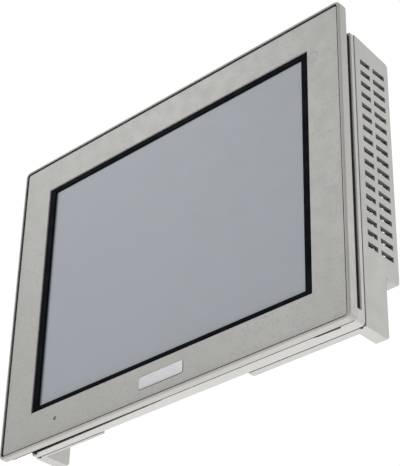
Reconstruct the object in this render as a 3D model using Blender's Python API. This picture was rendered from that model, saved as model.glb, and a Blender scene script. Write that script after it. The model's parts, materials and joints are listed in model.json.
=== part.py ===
"""HMI touch panel of the kind that is clamped into a cabinet panel.

Frame: X to the right as the operator sees it, Y towards the back, Z up. The origin is the
centre of the cabinet's cut-out, in the plane where the gasket meets the cabinet's front.
Every sub-part is one closed solid in its own object. Neighbours that touch on the real
object stand GAP apart.
"""
import math

import bmesh
import bpy
from mathutils import Matrix, Vector

MM = 0.001
GAP = 0.3 * MM

# Bezel and face sheet
BEZEL_WIDTH = 272.5 * MM
BEZEL_HEIGHT = 214.5 * MM
BEZEL_DEPTH = 7.0 * MM
BEZEL_CORNER = 4.0 * MM
RIM_WIDTH = 1.65 * MM
RIM_PROUD = 1.0 * MM
RIM_ROUND = 1.4 * MM
REAR_ROUND = 0.9 * MM
REAR_CHAMFER = (2.6 * MM, 2.25 * MM)
GROOVE_WIDTH = 0.7 * MM
SHEET_THICKNESS = 1.5 * MM
SHEET_CORNER = 1.6 * MM
SHEET_CHAMFER = 0.25 * MM

# Cabinet cut-out, gasket and body
BEZEL_OVERLAP = 6.75 * MM
CUTOUT_CLEARANCE = 0.7 * MM
GASKET_EDGE = 0.4 * MM
GASKET_WIDTH = 4.0 * MM
GASKET_PROUD = 1.5 * MM
GASKET_SEAT = 1.5 * MM
BODY_CORNER = 2.5 * MM

# Display window and the layers behind it
ACTIVE_WIDTH = 211.2 * MM
ACTIVE_HEIGHT = 158.4 * MM
MASK_BORDER = (5.15 * MM, 3.65 * MM)
WINDOW_CORNER = 0.6 * MM
MASK_SINK = 0.9 * MM
MASK_THICKNESS = 0.6 * MM
FILM_THICKNESS = 0.4 * MM
FILM_MARGIN = 1.85 * MM
SEAL_WIDTH = 3.0 * MM
SEAL_THICKNESS = 1.0 * MM
MODULE_BORDER = (15.9 * MM, 13.3 * MM)
MODULE_SHEET = 0.8 * MM
MODULE_SKIRT = 4.7 * MM
MODULE_CORNER = 1.0 * MM
MODULE_WINDOW_MARGIN = 1.4 * MM
LCD_GLASS_THICKNESS = 2.0 * MM
DIFFUSER_THICKNESS = 0.5 * MM
LIGHT_GUIDE_THICKNESS = 4.0 * MM
LAMP_RADIUS = 1.5 * MM
LAMP_EDGE = 6.0 * MM
LIGHT_GUIDE_EDGE = 11.0 * MM
TRAY_DEPTH = 4.8 * MM
TRAY_FLOOR = 1.0 * MM

# Chassis, mid frame and rear cover, along Y from the gasket plane
CHASSIS_INSET = 1.2 * MM
CHASSIS_WALL = 3.0 * MM
CHASSIS_FLOOR = 1.6 * MM
CHASSIS_DEPTH = 12.2 * MM
CABLE_HOLE = ((-20.0 * MM, 20.0 * MM), (-78.0 * MM, -66.0 * MM))
LAMP_HOLE = ((100.0 * MM, 112.0 * MM), (50.0 * MM, 62.0 * MM))
MID_FRAME_DEPTH = 3.6 * MM
MID_FRAME_BORDER = 11.0 * MM
MID_FRAME_EDGE = 0.6 * MM
TONGUE_REACH = 8.0 * MM
SKIRT_LENGTH = 8.0 * MM
SKIRT_THICKNESS = 0.9 * MM
COVER_REAR_Y = 48.0 * MM
COVER_STEP_Y = 35.8 * MM
COVER_STEP_Z = -61.0 * MM
COVER_WALL = 2.5 * MM
COVER_TOP_DROP = 4.3 * MM
COVER_EDGE = 0.8 * MM
COVER_CORNER = 2.5 * MM
LEG_WIDTH = 8.0 * MM

# Ventilation slots, one row pitch for the sides and the back
VENT_ROWS = 17
VENT_PITCH = 8.0 * MM
VENT_HEIGHT = 3.4 * MM
VENT_TOP_Z = 82.0 * MM
SIDE_VENT_FRONT = (20.1 * MM, 29.1 * MM)
SIDE_VENT_REAR = (32.1 * MM, 43.3 * MM)
REAR_VENT_INSET = (6.3 * MM, 16.8 * MM)
TOP_VENT_COUNT = 16
TOP_VENT_PITCH = 10.0 * MM
TOP_VENT_LENGTH = 16.0 * MM

# Cable bay: front wall, the lips left along its lower front edge, and the hook slots
BAY_WALL = 2.2 * MM
BAY_LIP_HEIGHT = 7.5 * MM
BAY_MIDDLE = (-70.0 * MM, 46.5 * MM)
BAY_LEFT_LIP = 1.8 * MM
BAY_RIGHT_LIP = 4.4 * MM
BAY_MIDDLE_RISE = 4.5 * MM
NOTCH_INSET = 3.4 * MM
NOTCH_RADIUS = 1.1 * MM
NOTCH_DEPTH = 2.5 * MM
HOOK_X = 97.0 * MM
HOOK_WIDTH = 10.0 * MM
HOOK_HEIGHT = 4.8 * MM
HOOK_TOP_Y = 27.0 * MM
HOOK_TOP_LENGTH = 6.0 * MM

# Status light, light sensor and name plate, seen from the front
LIGHT_X = -88.4 * MM
LIGHT_Z = -92.8 * MM
LIGHT_RADIUS = 0.9 * MM
SENSOR_X = 115.3 * MM
SENSOR_Z = 75.5 * MM
SENSOR_RADIUS = 3.7 * MM
SENSOR_SEAT = 1.0 * MM
PLATE_WIDTH = 34.4 * MM
PLATE_HEIGHT = 7.6 * MM
PLATE_Z = -94.1 * MM
PLATE_SINK = 0.8 * MM
PLATE_PROUD = 0.25 * MM
PLATE_CORNER = 1.2 * MM

# Boards
BOARD_THICKNESS = 1.6 * MM
MAIN_BOARD_Y = 20.0 * MM
BOARD_SIDE_GAP = 8.3 * MM
BOARD_FOOT_GAP = 4.5 * MM
MAIN_BOARD_TOP_Z = 86.0 * MM
POWER_BOARD_Y = 30.0 * MM
POWER_BOARD_X = (56.0 * MM, 99.0 * MM)
POWER_BOARD_TOP_Z = 14.0 * MM
STANDOFF_RADIUS = 2.5 * MM
STANDOFF_BORE_DEPTH = 8.0 * MM

# Parts on the boards, by their middles (X, Z)
HEAT_SINK_CENTRE = (8.0 * MM, 40.0 * MM)
HEAT_SINK_SIDE = 40.0 * MM
HEAT_SINK_HEIGHT = 12.0 * MM
HEAT_SINK_BASE = 3.0 * MM
HEAT_SINK_CHANNELS = 6
HEAT_SINK_PITCH = 6.6 * MM
HEAT_SINK_CHANNEL = 3.2 * MM
BATTERY_CENTRE = (60.0 * MM, 60.0 * MM)
BATTERY_RADIUS = 10.0 * MM
BATTERY_THICKNESS = 3.2 * MM
BATTERY_RIM = 1.5 * MM
BATTERY_FLOOR = 1.0 * MM
SPEAKER_CENTRE = (-50.0 * MM, 50.0 * MM)
SPEAKER_RADIUS = 14.0 * MM
TRANSFORMER_X = (76.0 * MM, 96.0 * MM)
TRANSFORMER_Z = (-16.0 * MM, 6.0 * MM)
TRANSFORMER_HEIGHT = 12.0 * MM
CAPACITOR_X = (60.5 * MM, 70.0 * MM)
CAPACITOR_Z = -4.0 * MM
CAPACITOR_RADIUS = 4.0 * MM
CAPACITOR_HEIGHT = 11.0 * MM

# Connectors along the cable bay, by the X of their middles
SOCKET_RISE = 14.5 * MM
SOCKET_DROP = 4.0 * MM
SERIAL_X = (-84.0 * MM, -44.0 * MM)
SERIAL_SHELL = (17.0 * MM, 8.4 * MM)
SERIAL_LIFT = 1.0 * MM
SERIAL_TAPER = 1.4 * MM
SERIAL_FLANGE_WIDTH = 30.8 * MM
SERIAL_FLANGE_THICKNESS = 1.7 * MM
SERIAL_POST_SPACING = 25.0 * MM
SERIAL_POST_RADIUS = 2.7 * MM
SERIAL_POST_LENGTH = 4.7 * MM
USB_X = (-10.0 * MM, 10.0 * MM)
USB_SHELL = (14.4 * MM, 7.2 * MM)
USB_WALL = 0.95 * MM
USB_DEPTH = 12.0 * MM
USB_TONGUE = (0.7 * MM, 2.4 * MM)
LAN_X = 38.0 * MM
LAN_SHELL = (16.0 * MM, 13.4 * MM)
LAN_MOUTH_WIDTH = 11.8 * MM
LAN_MOUTH_Y = (2.0 * MM, 9.0 * MM)
LAN_MOUTH_DEPTH = 14.0 * MM
LAN_CLIP_WIDTH = 6.0 * MM
LAN_CLIP_Y = (8.5 * MM, 11.4 * MM)
LAN_CLIP_DEPTH = 12.0 * MM
POWER_X = 87.0 * MM
POWER_HEADER = (18.0 * MM, 10.0 * MM)
POWER_PITCH = 5.08 * MM
POWER_PIN = 1.2 * MM
POWER_PIN_LENGTH = 8.0 * MM
PLUG_LENGTH = 16.0 * MM
PLUG_FRONT = 0.5 * MM
PLUG_REAR = 1.0 * MM
WIRE_MOUTH = 3.8 * MM
WIRE_MOUTH_DEPTH = 4.0 * MM
TERMINAL_RADIUS = 1.6 * MM
TERMINAL_RISE = 6.0 * MM
TERMINAL_BORE_DEPTH = 3.2 * MM
TERMINAL_SINK = 0.5 * MM
TERMINAL_SLOT = (0.6 * MM, 0.8 * MM)

# Memory card socket, its door and its eject button, on the left side
DOOR_HEIGHT = 54.0 * MM
DOOR_WIDTH = 20.0 * MM
DOOR_THICKNESS = 2.0 * MM
DOOR_Y = 32.0 * MM
HINGE_RISE = 14.0 * MM
HINGE_BARREL = 1.9 * MM
HINGE_PIN = 0.8 * MM
HINGE_INSET = 1.4 * MM
HINGE_BOSS = 2.0 * MM
HINGE_BOSS_HEIGHT = 6.0 * MM
FINGER_WIDTH = 12.0 * MM
FINGER_HEIGHT = 4.0 * MM
FINGER_DEPTH = 0.8 * MM
FINGER_DROP = 3.0 * MM
CARD_SLOT_WIDTH = 43.4 * MM
CARD_SLOT_HEIGHT = 5.4 * MM
CARD_SLOT_DEPTH = 40.0 * MM
CARD_SOCKET_WALL = 1.3 * MM
CARD_SOCKET_BACK = 3.5 * MM
CARD_SOCKET_MOUTH = 5.3 * MM
CARD_SOCKET_DROP = 2.0 * MM
BUTTON_SIDE = (3.2 * MM, 3.0 * MM)
BUTTON_LENGTH = 15.8 * MM
BUTTON_PROUD = 1.8 * MM
BUTTON_RISE = 1.0 * MM
BUTTON_GUIDE = (4.0 * MM, 8.0 * MM)
BUTTON_GUIDE_HEIGHT = 5.4 * MM

# Fasteners
COVER_SCREW_X = 104.0 * MM
COVER_SCREW_TOP_Z = 84.0 * MM
COVER_SCREW_RISE = 5.0 * MM
SCREW_RADIUS = 1.5 * MM
SCREW_HEAD_RADIUS = 3.0 * MM
SCREW_HEAD_HEIGHT = 1.8 * MM
CROSS_LENGTH = 3.2 * MM
CROSS_WIDTH = 0.8 * MM
CROSS_DEPTH = 1.0 * MM

ROUND = 20
ROUND_SMALL = 12

# Derived planes and half sizes
FLANGE_Y = -GASKET_PROUD
RIM_Y = FLANGE_Y - BEZEL_DEPTH
SHEET_Y = RIM_Y + RIM_PROUD
POCKET_Y = SHEET_Y + SHEET_THICKNESS + GAP
BEZEL_HALF = Vector((BEZEL_WIDTH / 2, BEZEL_HEIGHT / 2))
RIM_INNER_HALF = BEZEL_HALF - Vector((RIM_WIDTH, RIM_WIDTH))
SHEET_HALF = RIM_INNER_HALF - Vector((GROOVE_WIDTH, GROOVE_WIDTH))
ACTIVE_HALF = Vector((ACTIVE_WIDTH / 2, ACTIVE_HEIGHT / 2))
WINDOW_HALF = ACTIVE_HALF + Vector(MASK_BORDER)
BEZEL_WINDOW_HALF = WINDOW_HALF + Vector((FILM_MARGIN, FILM_MARGIN))
CUTOUT_HALF = BEZEL_HALF - Vector((BEZEL_OVERLAP, BEZEL_OVERLAP))
GASKET_INNER_HALF = CUTOUT_HALF + Vector((GASKET_EDGE, GASKET_EDGE))
GASKET_OUTER_HALF = GASKET_INNER_HALF + Vector((GASKET_WIDTH, GASKET_WIDTH))
BODY_HALF = CUTOUT_HALF - Vector((CUTOUT_CLEARANCE, CUTOUT_CLEARANCE))
CHASSIS_HALF = BODY_HALF - Vector((CHASSIS_INSET, CHASSIS_INSET))
MODULE_HALF = ACTIVE_HALF + Vector(MODULE_BORDER)
MASK_Y = SHEET_Y + MASK_SINK
FILM_Y = MASK_Y + MASK_THICKNESS + GAP
TOUCH_GLASS_Y = FILM_Y + FILM_THICKNESS + GAP
SEAL_Y = FLANGE_Y - GAP - SEAL_THICKNESS
TOUCH_GLASS_REAR_Y = SEAL_Y - GAP
MODULE_Y = FLANGE_Y + GAP
LCD_GLASS_Y = MODULE_Y + MODULE_SHEET + GAP
DIFFUSER_Y = LCD_GLASS_Y + LCD_GLASS_THICKNESS + GAP
LIGHT_GUIDE_Y = DIFFUSER_Y + DIFFUSER_THICKNESS + GAP
TRAY_Y = MODULE_Y + MODULE_SKIRT + GAP
TRAY_REAR_Y = TRAY_Y + TRAY_DEPTH
CHASSIS_Y = FLANGE_Y + GAP
CHASSIS_REAR_Y = CHASSIS_Y + CHASSIS_DEPTH
MID_FRAME_Y = CHASSIS_REAR_Y + GAP
MID_FRAME_REAR_Y = MID_FRAME_Y + MID_FRAME_DEPTH
COVER_Y = MID_FRAME_REAR_Y + GAP
COVER_INNER_HALF_X = BODY_HALF.x - COVER_WALL
COVER_INNER_REAR_Y = COVER_REAR_Y - COVER_WALL
BAY_Y = COVER_Y + BAY_WALL
BAY_CEILING_TOP_Z = COVER_STEP_Z + COVER_WALL
BAY_HALF_X = BODY_HALF.x - LEG_WIDTH
SOCKET_BOTTOM_Z = COVER_STEP_Z - SOCKET_DROP
SOCKET_TOP_Z = BAY_CEILING_TOP_Z + SOCKET_RISE
BOARD_FOOT_Z = BAY_CEILING_TOP_Z + BOARD_FOOT_GAP
MAIN_BOARD_HALF_WIDTH = COVER_INNER_HALF_X - BOARD_SIDE_GAP
COVER_SCREW_Z = (BAY_CEILING_TOP_Z + COVER_SCREW_RISE, COVER_SCREW_TOP_Z)
MAIN_BOARD_REAR_Y = MAIN_BOARD_Y + BOARD_THICKNESS
POWER_BOARD_REAR_Y = POWER_BOARD_Y + BOARD_THICKNESS
HINGE_Z = BAY_CEILING_TOP_Z + HINGE_RISE
DOOR_TOP_Z = HINGE_Z + DOOR_HEIGHT
HINGE_X = -BODY_HALF.x + HINGE_INSET


def clear_scene():
    for obj in list(bpy.data.objects):
        bpy.data.objects.remove(obj, do_unlink=True)


def material(name, colour, roughness, metallic=0.0):
    made = bpy.data.materials.new(name)
    made.use_nodes = True
    shader = made.node_tree.nodes["Principled BSDF"]
    shader.inputs["Base Color"].default_value = (*colour, 1.0)
    shader.inputs["Roughness"].default_value = roughness
    shader.inputs["Metallic"].default_value = metallic
    return made


def rounded_rectangle(half, radius, segments=3):
    """Corner points of a rounded rectangle about the middle, going round once."""
    points = []
    corners = ((1, 1, 0), (-1, 1, 90), (-1, -1, 180), (1, -1, 270))
    for sign_x, sign_z, start in corners:
        centre = (sign_x * (half[0] - radius), sign_z * (half[1] - radius))
        for step in range(segments + 1):
            angle = math.radians(start + 90 * step / segments)
            points.append((centre[0] + radius * math.cos(angle), centre[1] + radius * math.sin(angle)))
    return points


def rectangle(low, high):
    return [(low[0], low[1]), (high[0], low[1]), (high[0], high[1]), (low[0], high[1])]


def circle(centre, radius, sides=ROUND):
    points = []
    for index in range(sides):
        angle = math.tau * index / sides
        points.append((centre[0] + radius * math.cos(angle), centre[1] + radius * math.sin(angle)))
    return points


def rounded_corner(before, corner, after, radius, segments=4):
    """Arc that replaces one corner of an outline, tangent to both of its sides."""
    corner = Vector(corner)
    to_before = (Vector(before) - corner).normalized()
    to_after = (Vector(after) - corner).normalized()
    half_angle = to_before.angle(to_after) / 2
    centre = corner + (to_before + to_after).normalized() * (radius / math.sin(half_angle))
    start = corner + to_before * (radius / math.tan(half_angle)) - centre
    end = corner + to_after * (radius / math.tan(half_angle)) - centre
    points = [centre + start]
    for step in range(1, segments):
        points.append(centre + start.slerp(end, step / segments).normalized() * radius)
    points.append(centre + end)
    return [tuple(point) for point in points]


PLACE = {
    "X": lambda a, b, along: (along, a, b),
    "Y": lambda a, b, along: (a, along, b),
    "Z": lambda a, b, along: (a, b, along),
}


def close_up(bm):
    bmesh.ops.recalc_face_normals(bm, faces=bm.faces)
    return bm


def prism(axis, outline, low, high):
    """Closed solid with one outline across an axis: (Y, Z), (X, Z) or (X, Y) for X, Y or Z."""
    bm = bmesh.new()
    place = PLACE[axis]
    near = [bm.verts.new(place(a, b, low)) for a, b in outline]
    far = [bm.verts.new(place(a, b, high)) for a, b in outline]
    bm.faces.new(near)
    bm.faces.new(far)
    for index in range(len(outline)):
        after = (index + 1) % len(outline)
        bm.faces.new((near[index], near[after], far[after], far[index]))
    return close_up(bm)


def block(x, y, z):
    return prism("Y", rectangle((x[0], z[0]), (x[1], z[1])), y[0], y[1])


def rod(axis, centre, radius, low, high, sides=ROUND):
    return prism(axis, circle(centre, radius, sides), low, high)


def stack(rings, closed, segments=3):
    """Solid through rounded-rectangle rings (half size, corner, y), capped or closed on itself."""
    bm = bmesh.new()
    loops = []
    for half, corner, y in rings:
        loops.append([bm.verts.new((x, y, z)) for x, z in rounded_rectangle(half, corner, segments)])
    pairs = list(zip(loops, loops[1:]))
    if closed:
        pairs.append((loops[-1], loops[0]))
    else:
        bm.faces.new(loops[0])
        bm.faces.new(loops[-1])
    count = len(loops[0])
    for first, second in pairs:
        for index in range(count):
            after = (index + 1) % count
            bm.faces.new((first[index], first[after], second[after], second[index]))
    return close_up(bm)


def turned(axis, centre, profile, sides=ROUND):
    """Round solid from (radius, position along the axis) points, capped at both ends."""
    bm = bmesh.new()
    place = PLACE[axis]
    loops = []
    for radius, along in profile:
        loops.append([bm.verts.new(place(a, b, along)) for a, b in circle(centre, radius, sides)])
    bm.faces.new(loops[0])
    bm.faces.new(loops[-1])
    for first, second in zip(loops, loops[1:]):
        for index in range(sides):
            after = (index + 1) % sides
            bm.faces.new((first[index], first[after], second[after], second[index]))
    return close_up(bm)


def span(middle, length):
    return (middle - length / 2, middle + length / 2)


def gather(solids):
    """One mesh that holds several separate solids, for use as a cutter or an addition."""
    bm = bmesh.new()
    for solid in solids:
        mesh = bpy.data.meshes.new("loose")
        solid.to_mesh(mesh)
        solid.free()
        bm.from_mesh(mesh)
        bpy.data.meshes.remove(mesh)
    return bm


def place_object(name, bm, origin=(0.0, 0.0, 0.0)):
    bmesh.ops.translate(bm, verts=bm.verts, vec=-Vector(origin))
    mesh = bpy.data.meshes.new(name)
    bm.to_mesh(mesh)
    bm.free()
    obj = bpy.data.objects.new(name, mesh)
    obj.location = origin
    bpy.context.scene.collection.objects.link(obj)
    return obj


def combine(obj, solids, operation, label):
    """Boolean of an object with solids, through a hidden wire object that stays editable."""
    tool = place_object(f"{obj.name}.{label}", gather(solids))
    tool.hide_render = True
    tool.display_type = "WIRE"
    modifier = obj.modifiers.new(label, "BOOLEAN")
    modifier.operation = operation
    modifier.solver = "EXACT"
    modifier.object = tool
    return obj


def cut(obj, solids, label="cut"):
    return combine(obj, solids, "DIFFERENCE", label)


def add(obj, solids, label="add"):
    return combine(obj, solids, "UNION", label)


def part(name, bm, look, origin=(0.0, 0.0, 0.0), smooth=False):
    obj = place_object(name, bm, origin)
    obj.data.materials.append(look)
    if smooth:
        obj.data.shade_smooth()
        obj.data.set_sharp_from_angle(angle=math.radians(35))
    return obj


def grow(half, distance):
    return Vector((half[0] + distance, half[1] + distance))


# ---------------------------------------------------------------- front


def edge_rings(face_y, radius, steps=4):
    """Rings that round the bezel's outer edge at a face: behind it with a positive radius."""
    size = abs(radius)
    rings = []
    for step in range(steps + 1):
        angle = math.pi / 2 * step / steps
        inset = size * (1 - math.sin(angle))
        y = face_y - radius * (1 - math.cos(angle))
        rings.append((grow(BEZEL_HALF, -inset), BEZEL_CORNER - inset, y))
    return rings


def rear_chamfers():
    """Wedges off the bezel's top and bottom rear edges, outside the gasket."""
    along, across = REAR_CHAMFER
    wedges = []
    for side in (-1, 1):
        edge = side * BEZEL_HALF.y
        beyond = side * (BEZEL_HALF.y + across)
        outline = [
            (FLANGE_Y - along, edge),
            (FLANGE_Y, edge - side * across),
            (FLANGE_Y + along, edge - side * across),
            (FLANGE_Y + along, beyond),
            (FLANGE_Y - along, beyond),
        ]
        wedges.append(prism("X", outline, -BEZEL_HALF.x - MM, BEZEL_HALF.x + MM))
    return wedges


def make_bezel(look):
    groove_inner = grow(GASKET_INNER_HALF, -GAP)
    groove_outer = grow(GASKET_OUTER_HALF, GAP)
    groove_floor = FLANGE_Y - GASKET_SEAT
    rings = [
        *edge_rings(FLANGE_Y, REAR_ROUND),
        *reversed(edge_rings(RIM_Y, -RIM_ROUND)),
        (RIM_INNER_HALF, SHEET_CORNER + GROOVE_WIDTH, RIM_Y),
        (RIM_INNER_HALF, SHEET_CORNER + GROOVE_WIDTH, POCKET_Y),
        (BEZEL_WINDOW_HALF, WINDOW_CORNER + FILM_MARGIN, POCKET_Y),
        (BEZEL_WINDOW_HALF, WINDOW_CORNER + FILM_MARGIN, FLANGE_Y),
        (groove_inner, BODY_CORNER, FLANGE_Y),
        (groove_inner, BODY_CORNER, groove_floor),
        (groove_outer, BODY_CORNER, groove_floor),
        (groove_outer, BODY_CORNER, FLANGE_Y),
    ]
    bezel = part("bezel", stack(rings, closed=True, segments=6), look, smooth=True)
    bores = [
        rod("Y", (LIGHT_X, LIGHT_Z), LIGHT_RADIUS + GAP, RIM_Y, FLANGE_Y + GAP),
        rod("Y", (SENSOR_X, SENSOR_Z), SENSOR_RADIUS - SENSOR_SEAT, RIM_Y, FLANGE_Y + GAP),
    ]
    return cut(bezel, bores + rear_chamfers())


def make_face_sheet(look):
    back = SHEET_Y + SHEET_THICKNESS
    rings = [
        (SHEET_HALF, SHEET_CORNER, back),
        (SHEET_HALF, SHEET_CORNER, SHEET_Y + SHEET_CHAMFER),
        (grow(SHEET_HALF, -SHEET_CHAMFER), SHEET_CORNER, SHEET_Y),
        (grow(WINDOW_HALF, SHEET_CHAMFER), WINDOW_CORNER, SHEET_Y),
        (WINDOW_HALF, WINDOW_CORNER, SHEET_Y + SHEET_CHAMFER),
        (WINDOW_HALF, WINDOW_CORNER, back),
    ]
    sheet = part("face_sheet", stack(rings, closed=True), look, smooth=True)
    plate_half = (PLATE_WIDTH / 2 + GAP, PLATE_HEIGHT / 2 + GAP)
    recess = [(x, z + PLATE_Z) for x, z in rounded_rectangle(plate_half, PLATE_CORNER + GAP)]
    cuts = [
        rod("Y", (LIGHT_X, LIGHT_Z), LIGHT_RADIUS + GAP, RIM_Y, POCKET_Y),
        rod("Y", (SENSOR_X, SENSOR_Z), SENSOR_RADIUS + GAP, RIM_Y, POCKET_Y),
        prism("Y", recess, RIM_Y, SHEET_Y + PLATE_SINK + GAP),
    ]
    return cut(sheet, cuts)


def make_name_plate(look):
    """Plain plate in a recess of the face sheet."""
    half = (PLATE_WIDTH / 2, PLATE_HEIGHT / 2)
    outline = [(x, z + PLATE_Z) for x, z in rounded_rectangle(half, PLATE_CORNER)]
    return part("name_plate", prism("Y", outline, SHEET_Y - PLATE_PROUD, SHEET_Y + PLATE_SINK), look)


def make_status_light(look):
    profile = [
        (LIGHT_RADIUS * 0.6, SHEET_Y - 0.1 * MM),
        (LIGHT_RADIUS, SHEET_Y + 0.2 * MM),
        (LIGHT_RADIUS, FLANGE_Y),
    ]
    light = turned("Y", (LIGHT_X, LIGHT_Z), profile, ROUND_SMALL)
    return part("status_light", light, look, smooth=True)


def make_sensor_window(look):
    profile = [
        (SENSOR_RADIUS - 0.2 * MM, SHEET_Y),
        (SENSOR_RADIUS, SHEET_Y + 0.2 * MM),
        (SENSOR_RADIUS, SHEET_Y + SHEET_THICKNESS),
    ]
    return part("sensor_window", turned("Y", (SENSOR_X, SENSOR_Z), profile), look, smooth=True)


def make_frame(name, outer, inner, corner, y, look):
    """Flat ring between two rounded rectangles."""
    rings = [
        (outer, corner, y[0]),
        (outer, corner, y[1]),
        (inner, corner, y[1]),
        (inner, corner, y[0]),
    ]
    return part(name, stack(rings, closed=True), look)


def make_plate(name, half, corner, y, look):
    return part(name, stack([(half, corner, y[0]), (half, corner, y[1])], closed=False), look)


def make_display_front(looks):
    """Black mask, touch film, touch glass and the foam seal behind the face sheet's window."""
    layer_half = grow(BEZEL_WINDOW_HALF, -GAP)
    layer_corner = WINDOW_CORNER + FILM_MARGIN
    make_frame(
        "display_mask",
        grow(WINDOW_HALF, -GAP),
        ACTIVE_HALF,
        WINDOW_CORNER,
        (MASK_Y, MASK_Y + MASK_THICKNESS),
        looks["black_plastic"],
    )
    make_plate("touch_film", layer_half, layer_corner, (FILM_Y, FILM_Y + FILM_THICKNESS), looks["screen"])
    glass_y = (TOUCH_GLASS_Y, TOUCH_GLASS_REAR_Y)
    make_plate("touch_glass", layer_half, layer_corner, glass_y, looks["glass"])
    make_frame(
        "display_seal",
        layer_half,
        grow(layer_half, -SEAL_WIDTH),
        layer_corner,
        (SEAL_Y, FLANGE_Y - GAP),
        looks["rubber"],
    )


# ---------------------------------------------------------------- display module


def make_display_module(looks):
    """Steel front frame, liquid crystal glass, diffuser, light guide, lamps and steel tray."""
    inside = grow(MODULE_HALF, -MODULE_SHEET)
    window = grow(ACTIVE_HALF, MODULE_WINDOW_MARGIN)
    skirt_end = MODULE_Y + MODULE_SKIRT
    corner = MODULE_CORNER
    frame_rings = [
        (MODULE_HALF, corner, MODULE_Y),
        (MODULE_HALF, corner, skirt_end),
        (inside, corner, skirt_end),
        (inside, corner, MODULE_Y + MODULE_SHEET),
        (window, corner, MODULE_Y + MODULE_SHEET),
        (window, corner, MODULE_Y),
    ]
    part("display_frame", stack(frame_rings, closed=True, segments=2), looks["steel"])

    glass = grow(inside, -GAP)
    glass_y = (LCD_GLASS_Y, LCD_GLASS_Y + LCD_GLASS_THICKNESS)
    make_plate("display_glass", glass, corner, glass_y, looks["glass"])
    diffuser_y = (DIFFUSER_Y, DIFFUSER_Y + DIFFUSER_THICKNESS)
    make_plate("diffuser_sheet", glass, corner, diffuser_y, looks["white_plastic"])
    guide = Vector((glass.x, glass.y - LIGHT_GUIDE_EDGE))
    guide_y = (LIGHT_GUIDE_Y, LIGHT_GUIDE_Y + LIGHT_GUIDE_THICKNESS)
    make_plate("light_guide", guide, corner, guide_y, looks["white_plastic"])

    lamp_y = LIGHT_GUIDE_Y + LIGHT_GUIDE_THICKNESS / 2
    for label, side in (("upper", 1), ("lower", -1)):
        centre = (lamp_y, side * (glass.y - LAMP_EDGE))
        lamp = rod("X", centre, LAMP_RADIUS, -glass.x + LAMP_EDGE, glass.x - LAMP_EDGE, 10)
        part(f"backlight_lamp_{label}", lamp, looks["white_plastic"], smooth=True)

    tray_rings = [
        (MODULE_HALF, corner, TRAY_REAR_Y),
        (MODULE_HALF, corner, TRAY_Y),
        (inside, corner, TRAY_Y),
        (inside, corner, TRAY_REAR_Y - TRAY_FLOOR),
    ]
    part("display_tray", stack(tray_rings, closed=False, segments=2), looks["steel"])


# ---------------------------------------------------------------- housing


def make_gasket(look):
    rings = [
        (GASKET_OUTER_HALF, BODY_CORNER, FLANGE_Y - GASKET_SEAT + GAP),
        (GASKET_OUTER_HALF, BODY_CORNER, 0.0),
        (GASKET_INNER_HALF, BODY_CORNER, 0.0),
        (GASKET_INNER_HALF, BODY_CORNER, FLANGE_Y - GASKET_SEAT + GAP),
    ]
    return part("panel_gasket", stack(rings, closed=True), look)


def make_chassis(look):
    inside = grow(CHASSIS_HALF, -CHASSIS_WALL)
    rings = [
        (CHASSIS_HALF, BODY_CORNER, CHASSIS_REAR_Y),
        (CHASSIS_HALF, BODY_CORNER, CHASSIS_Y),
        (inside, BODY_CORNER, CHASSIS_Y),
        (inside, BODY_CORNER, CHASSIS_REAR_Y - CHASSIS_FLOOR),
    ]
    chassis = part("chassis", stack(rings, closed=False), look)
    holes = [block(x, (0, MID_FRAME_Y), z) for x, z in (CABLE_HOLE, LAMP_HOLE)]
    return cut(chassis, holes)


def tongue_outline():
    """Plan of the mid frame's lower tongue: its front edge nears the bezel right of the middle."""
    back = MID_FRAME_Y + MID_FRAME_DEPTH / 2
    left = -BODY_HALF.x + 7 * MM
    right = BODY_HALF.x - 5 * MM
    front = (
        (left, 0.22),
        (-0.47 * BODY_HALF.x, 0.37),
        (-0.11 * BODY_HALF.x, 0.49),
        (0.09 * BODY_HALF.x, 1.0),
        (0.65 * BODY_HALF.x, 1.0),
        (0.79 * BODY_HALF.x, 0.44),
        (0.91 * BODY_HALF.x, 0.39),
        (0.94 * BODY_HALF.x, 1.0),
        (right, 1.0),
    )
    edge = [(x, MID_FRAME_Y - share * TONGUE_REACH) for x, share in front]
    return [(left, back), *edge, (right, back)]


def corner_skirt():
    """Outline (X, Z) of the skirt that closes the lower right corner of the band."""
    centre = (BODY_HALF.x - BODY_CORNER, -BODY_HALF.y + BODY_CORNER)
    outer = BODY_CORNER
    inner = BODY_CORNER - SKIRT_THICKNESS
    start = BODY_HALF.x - SKIRT_LENGTH
    end = -BODY_HALF.y + SKIRT_LENGTH
    angles = [math.radians(-90 + 22.5 * step) for step in range(5)]
    outline = [(start, -BODY_HALF.y)]
    outline += [(centre[0] + outer * math.cos(a), centre[1] + outer * math.sin(a)) for a in angles]
    outline += [(BODY_HALF.x, end), (BODY_HALF.x - SKIRT_THICKNESS, end)]
    outline += [(centre[0] + inner * math.cos(a), centre[1] + inner * math.sin(a)) for a in reversed(angles)]
    outline += [(start, -BODY_HALF.y + SKIRT_THICKNESS)]
    return outline


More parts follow.
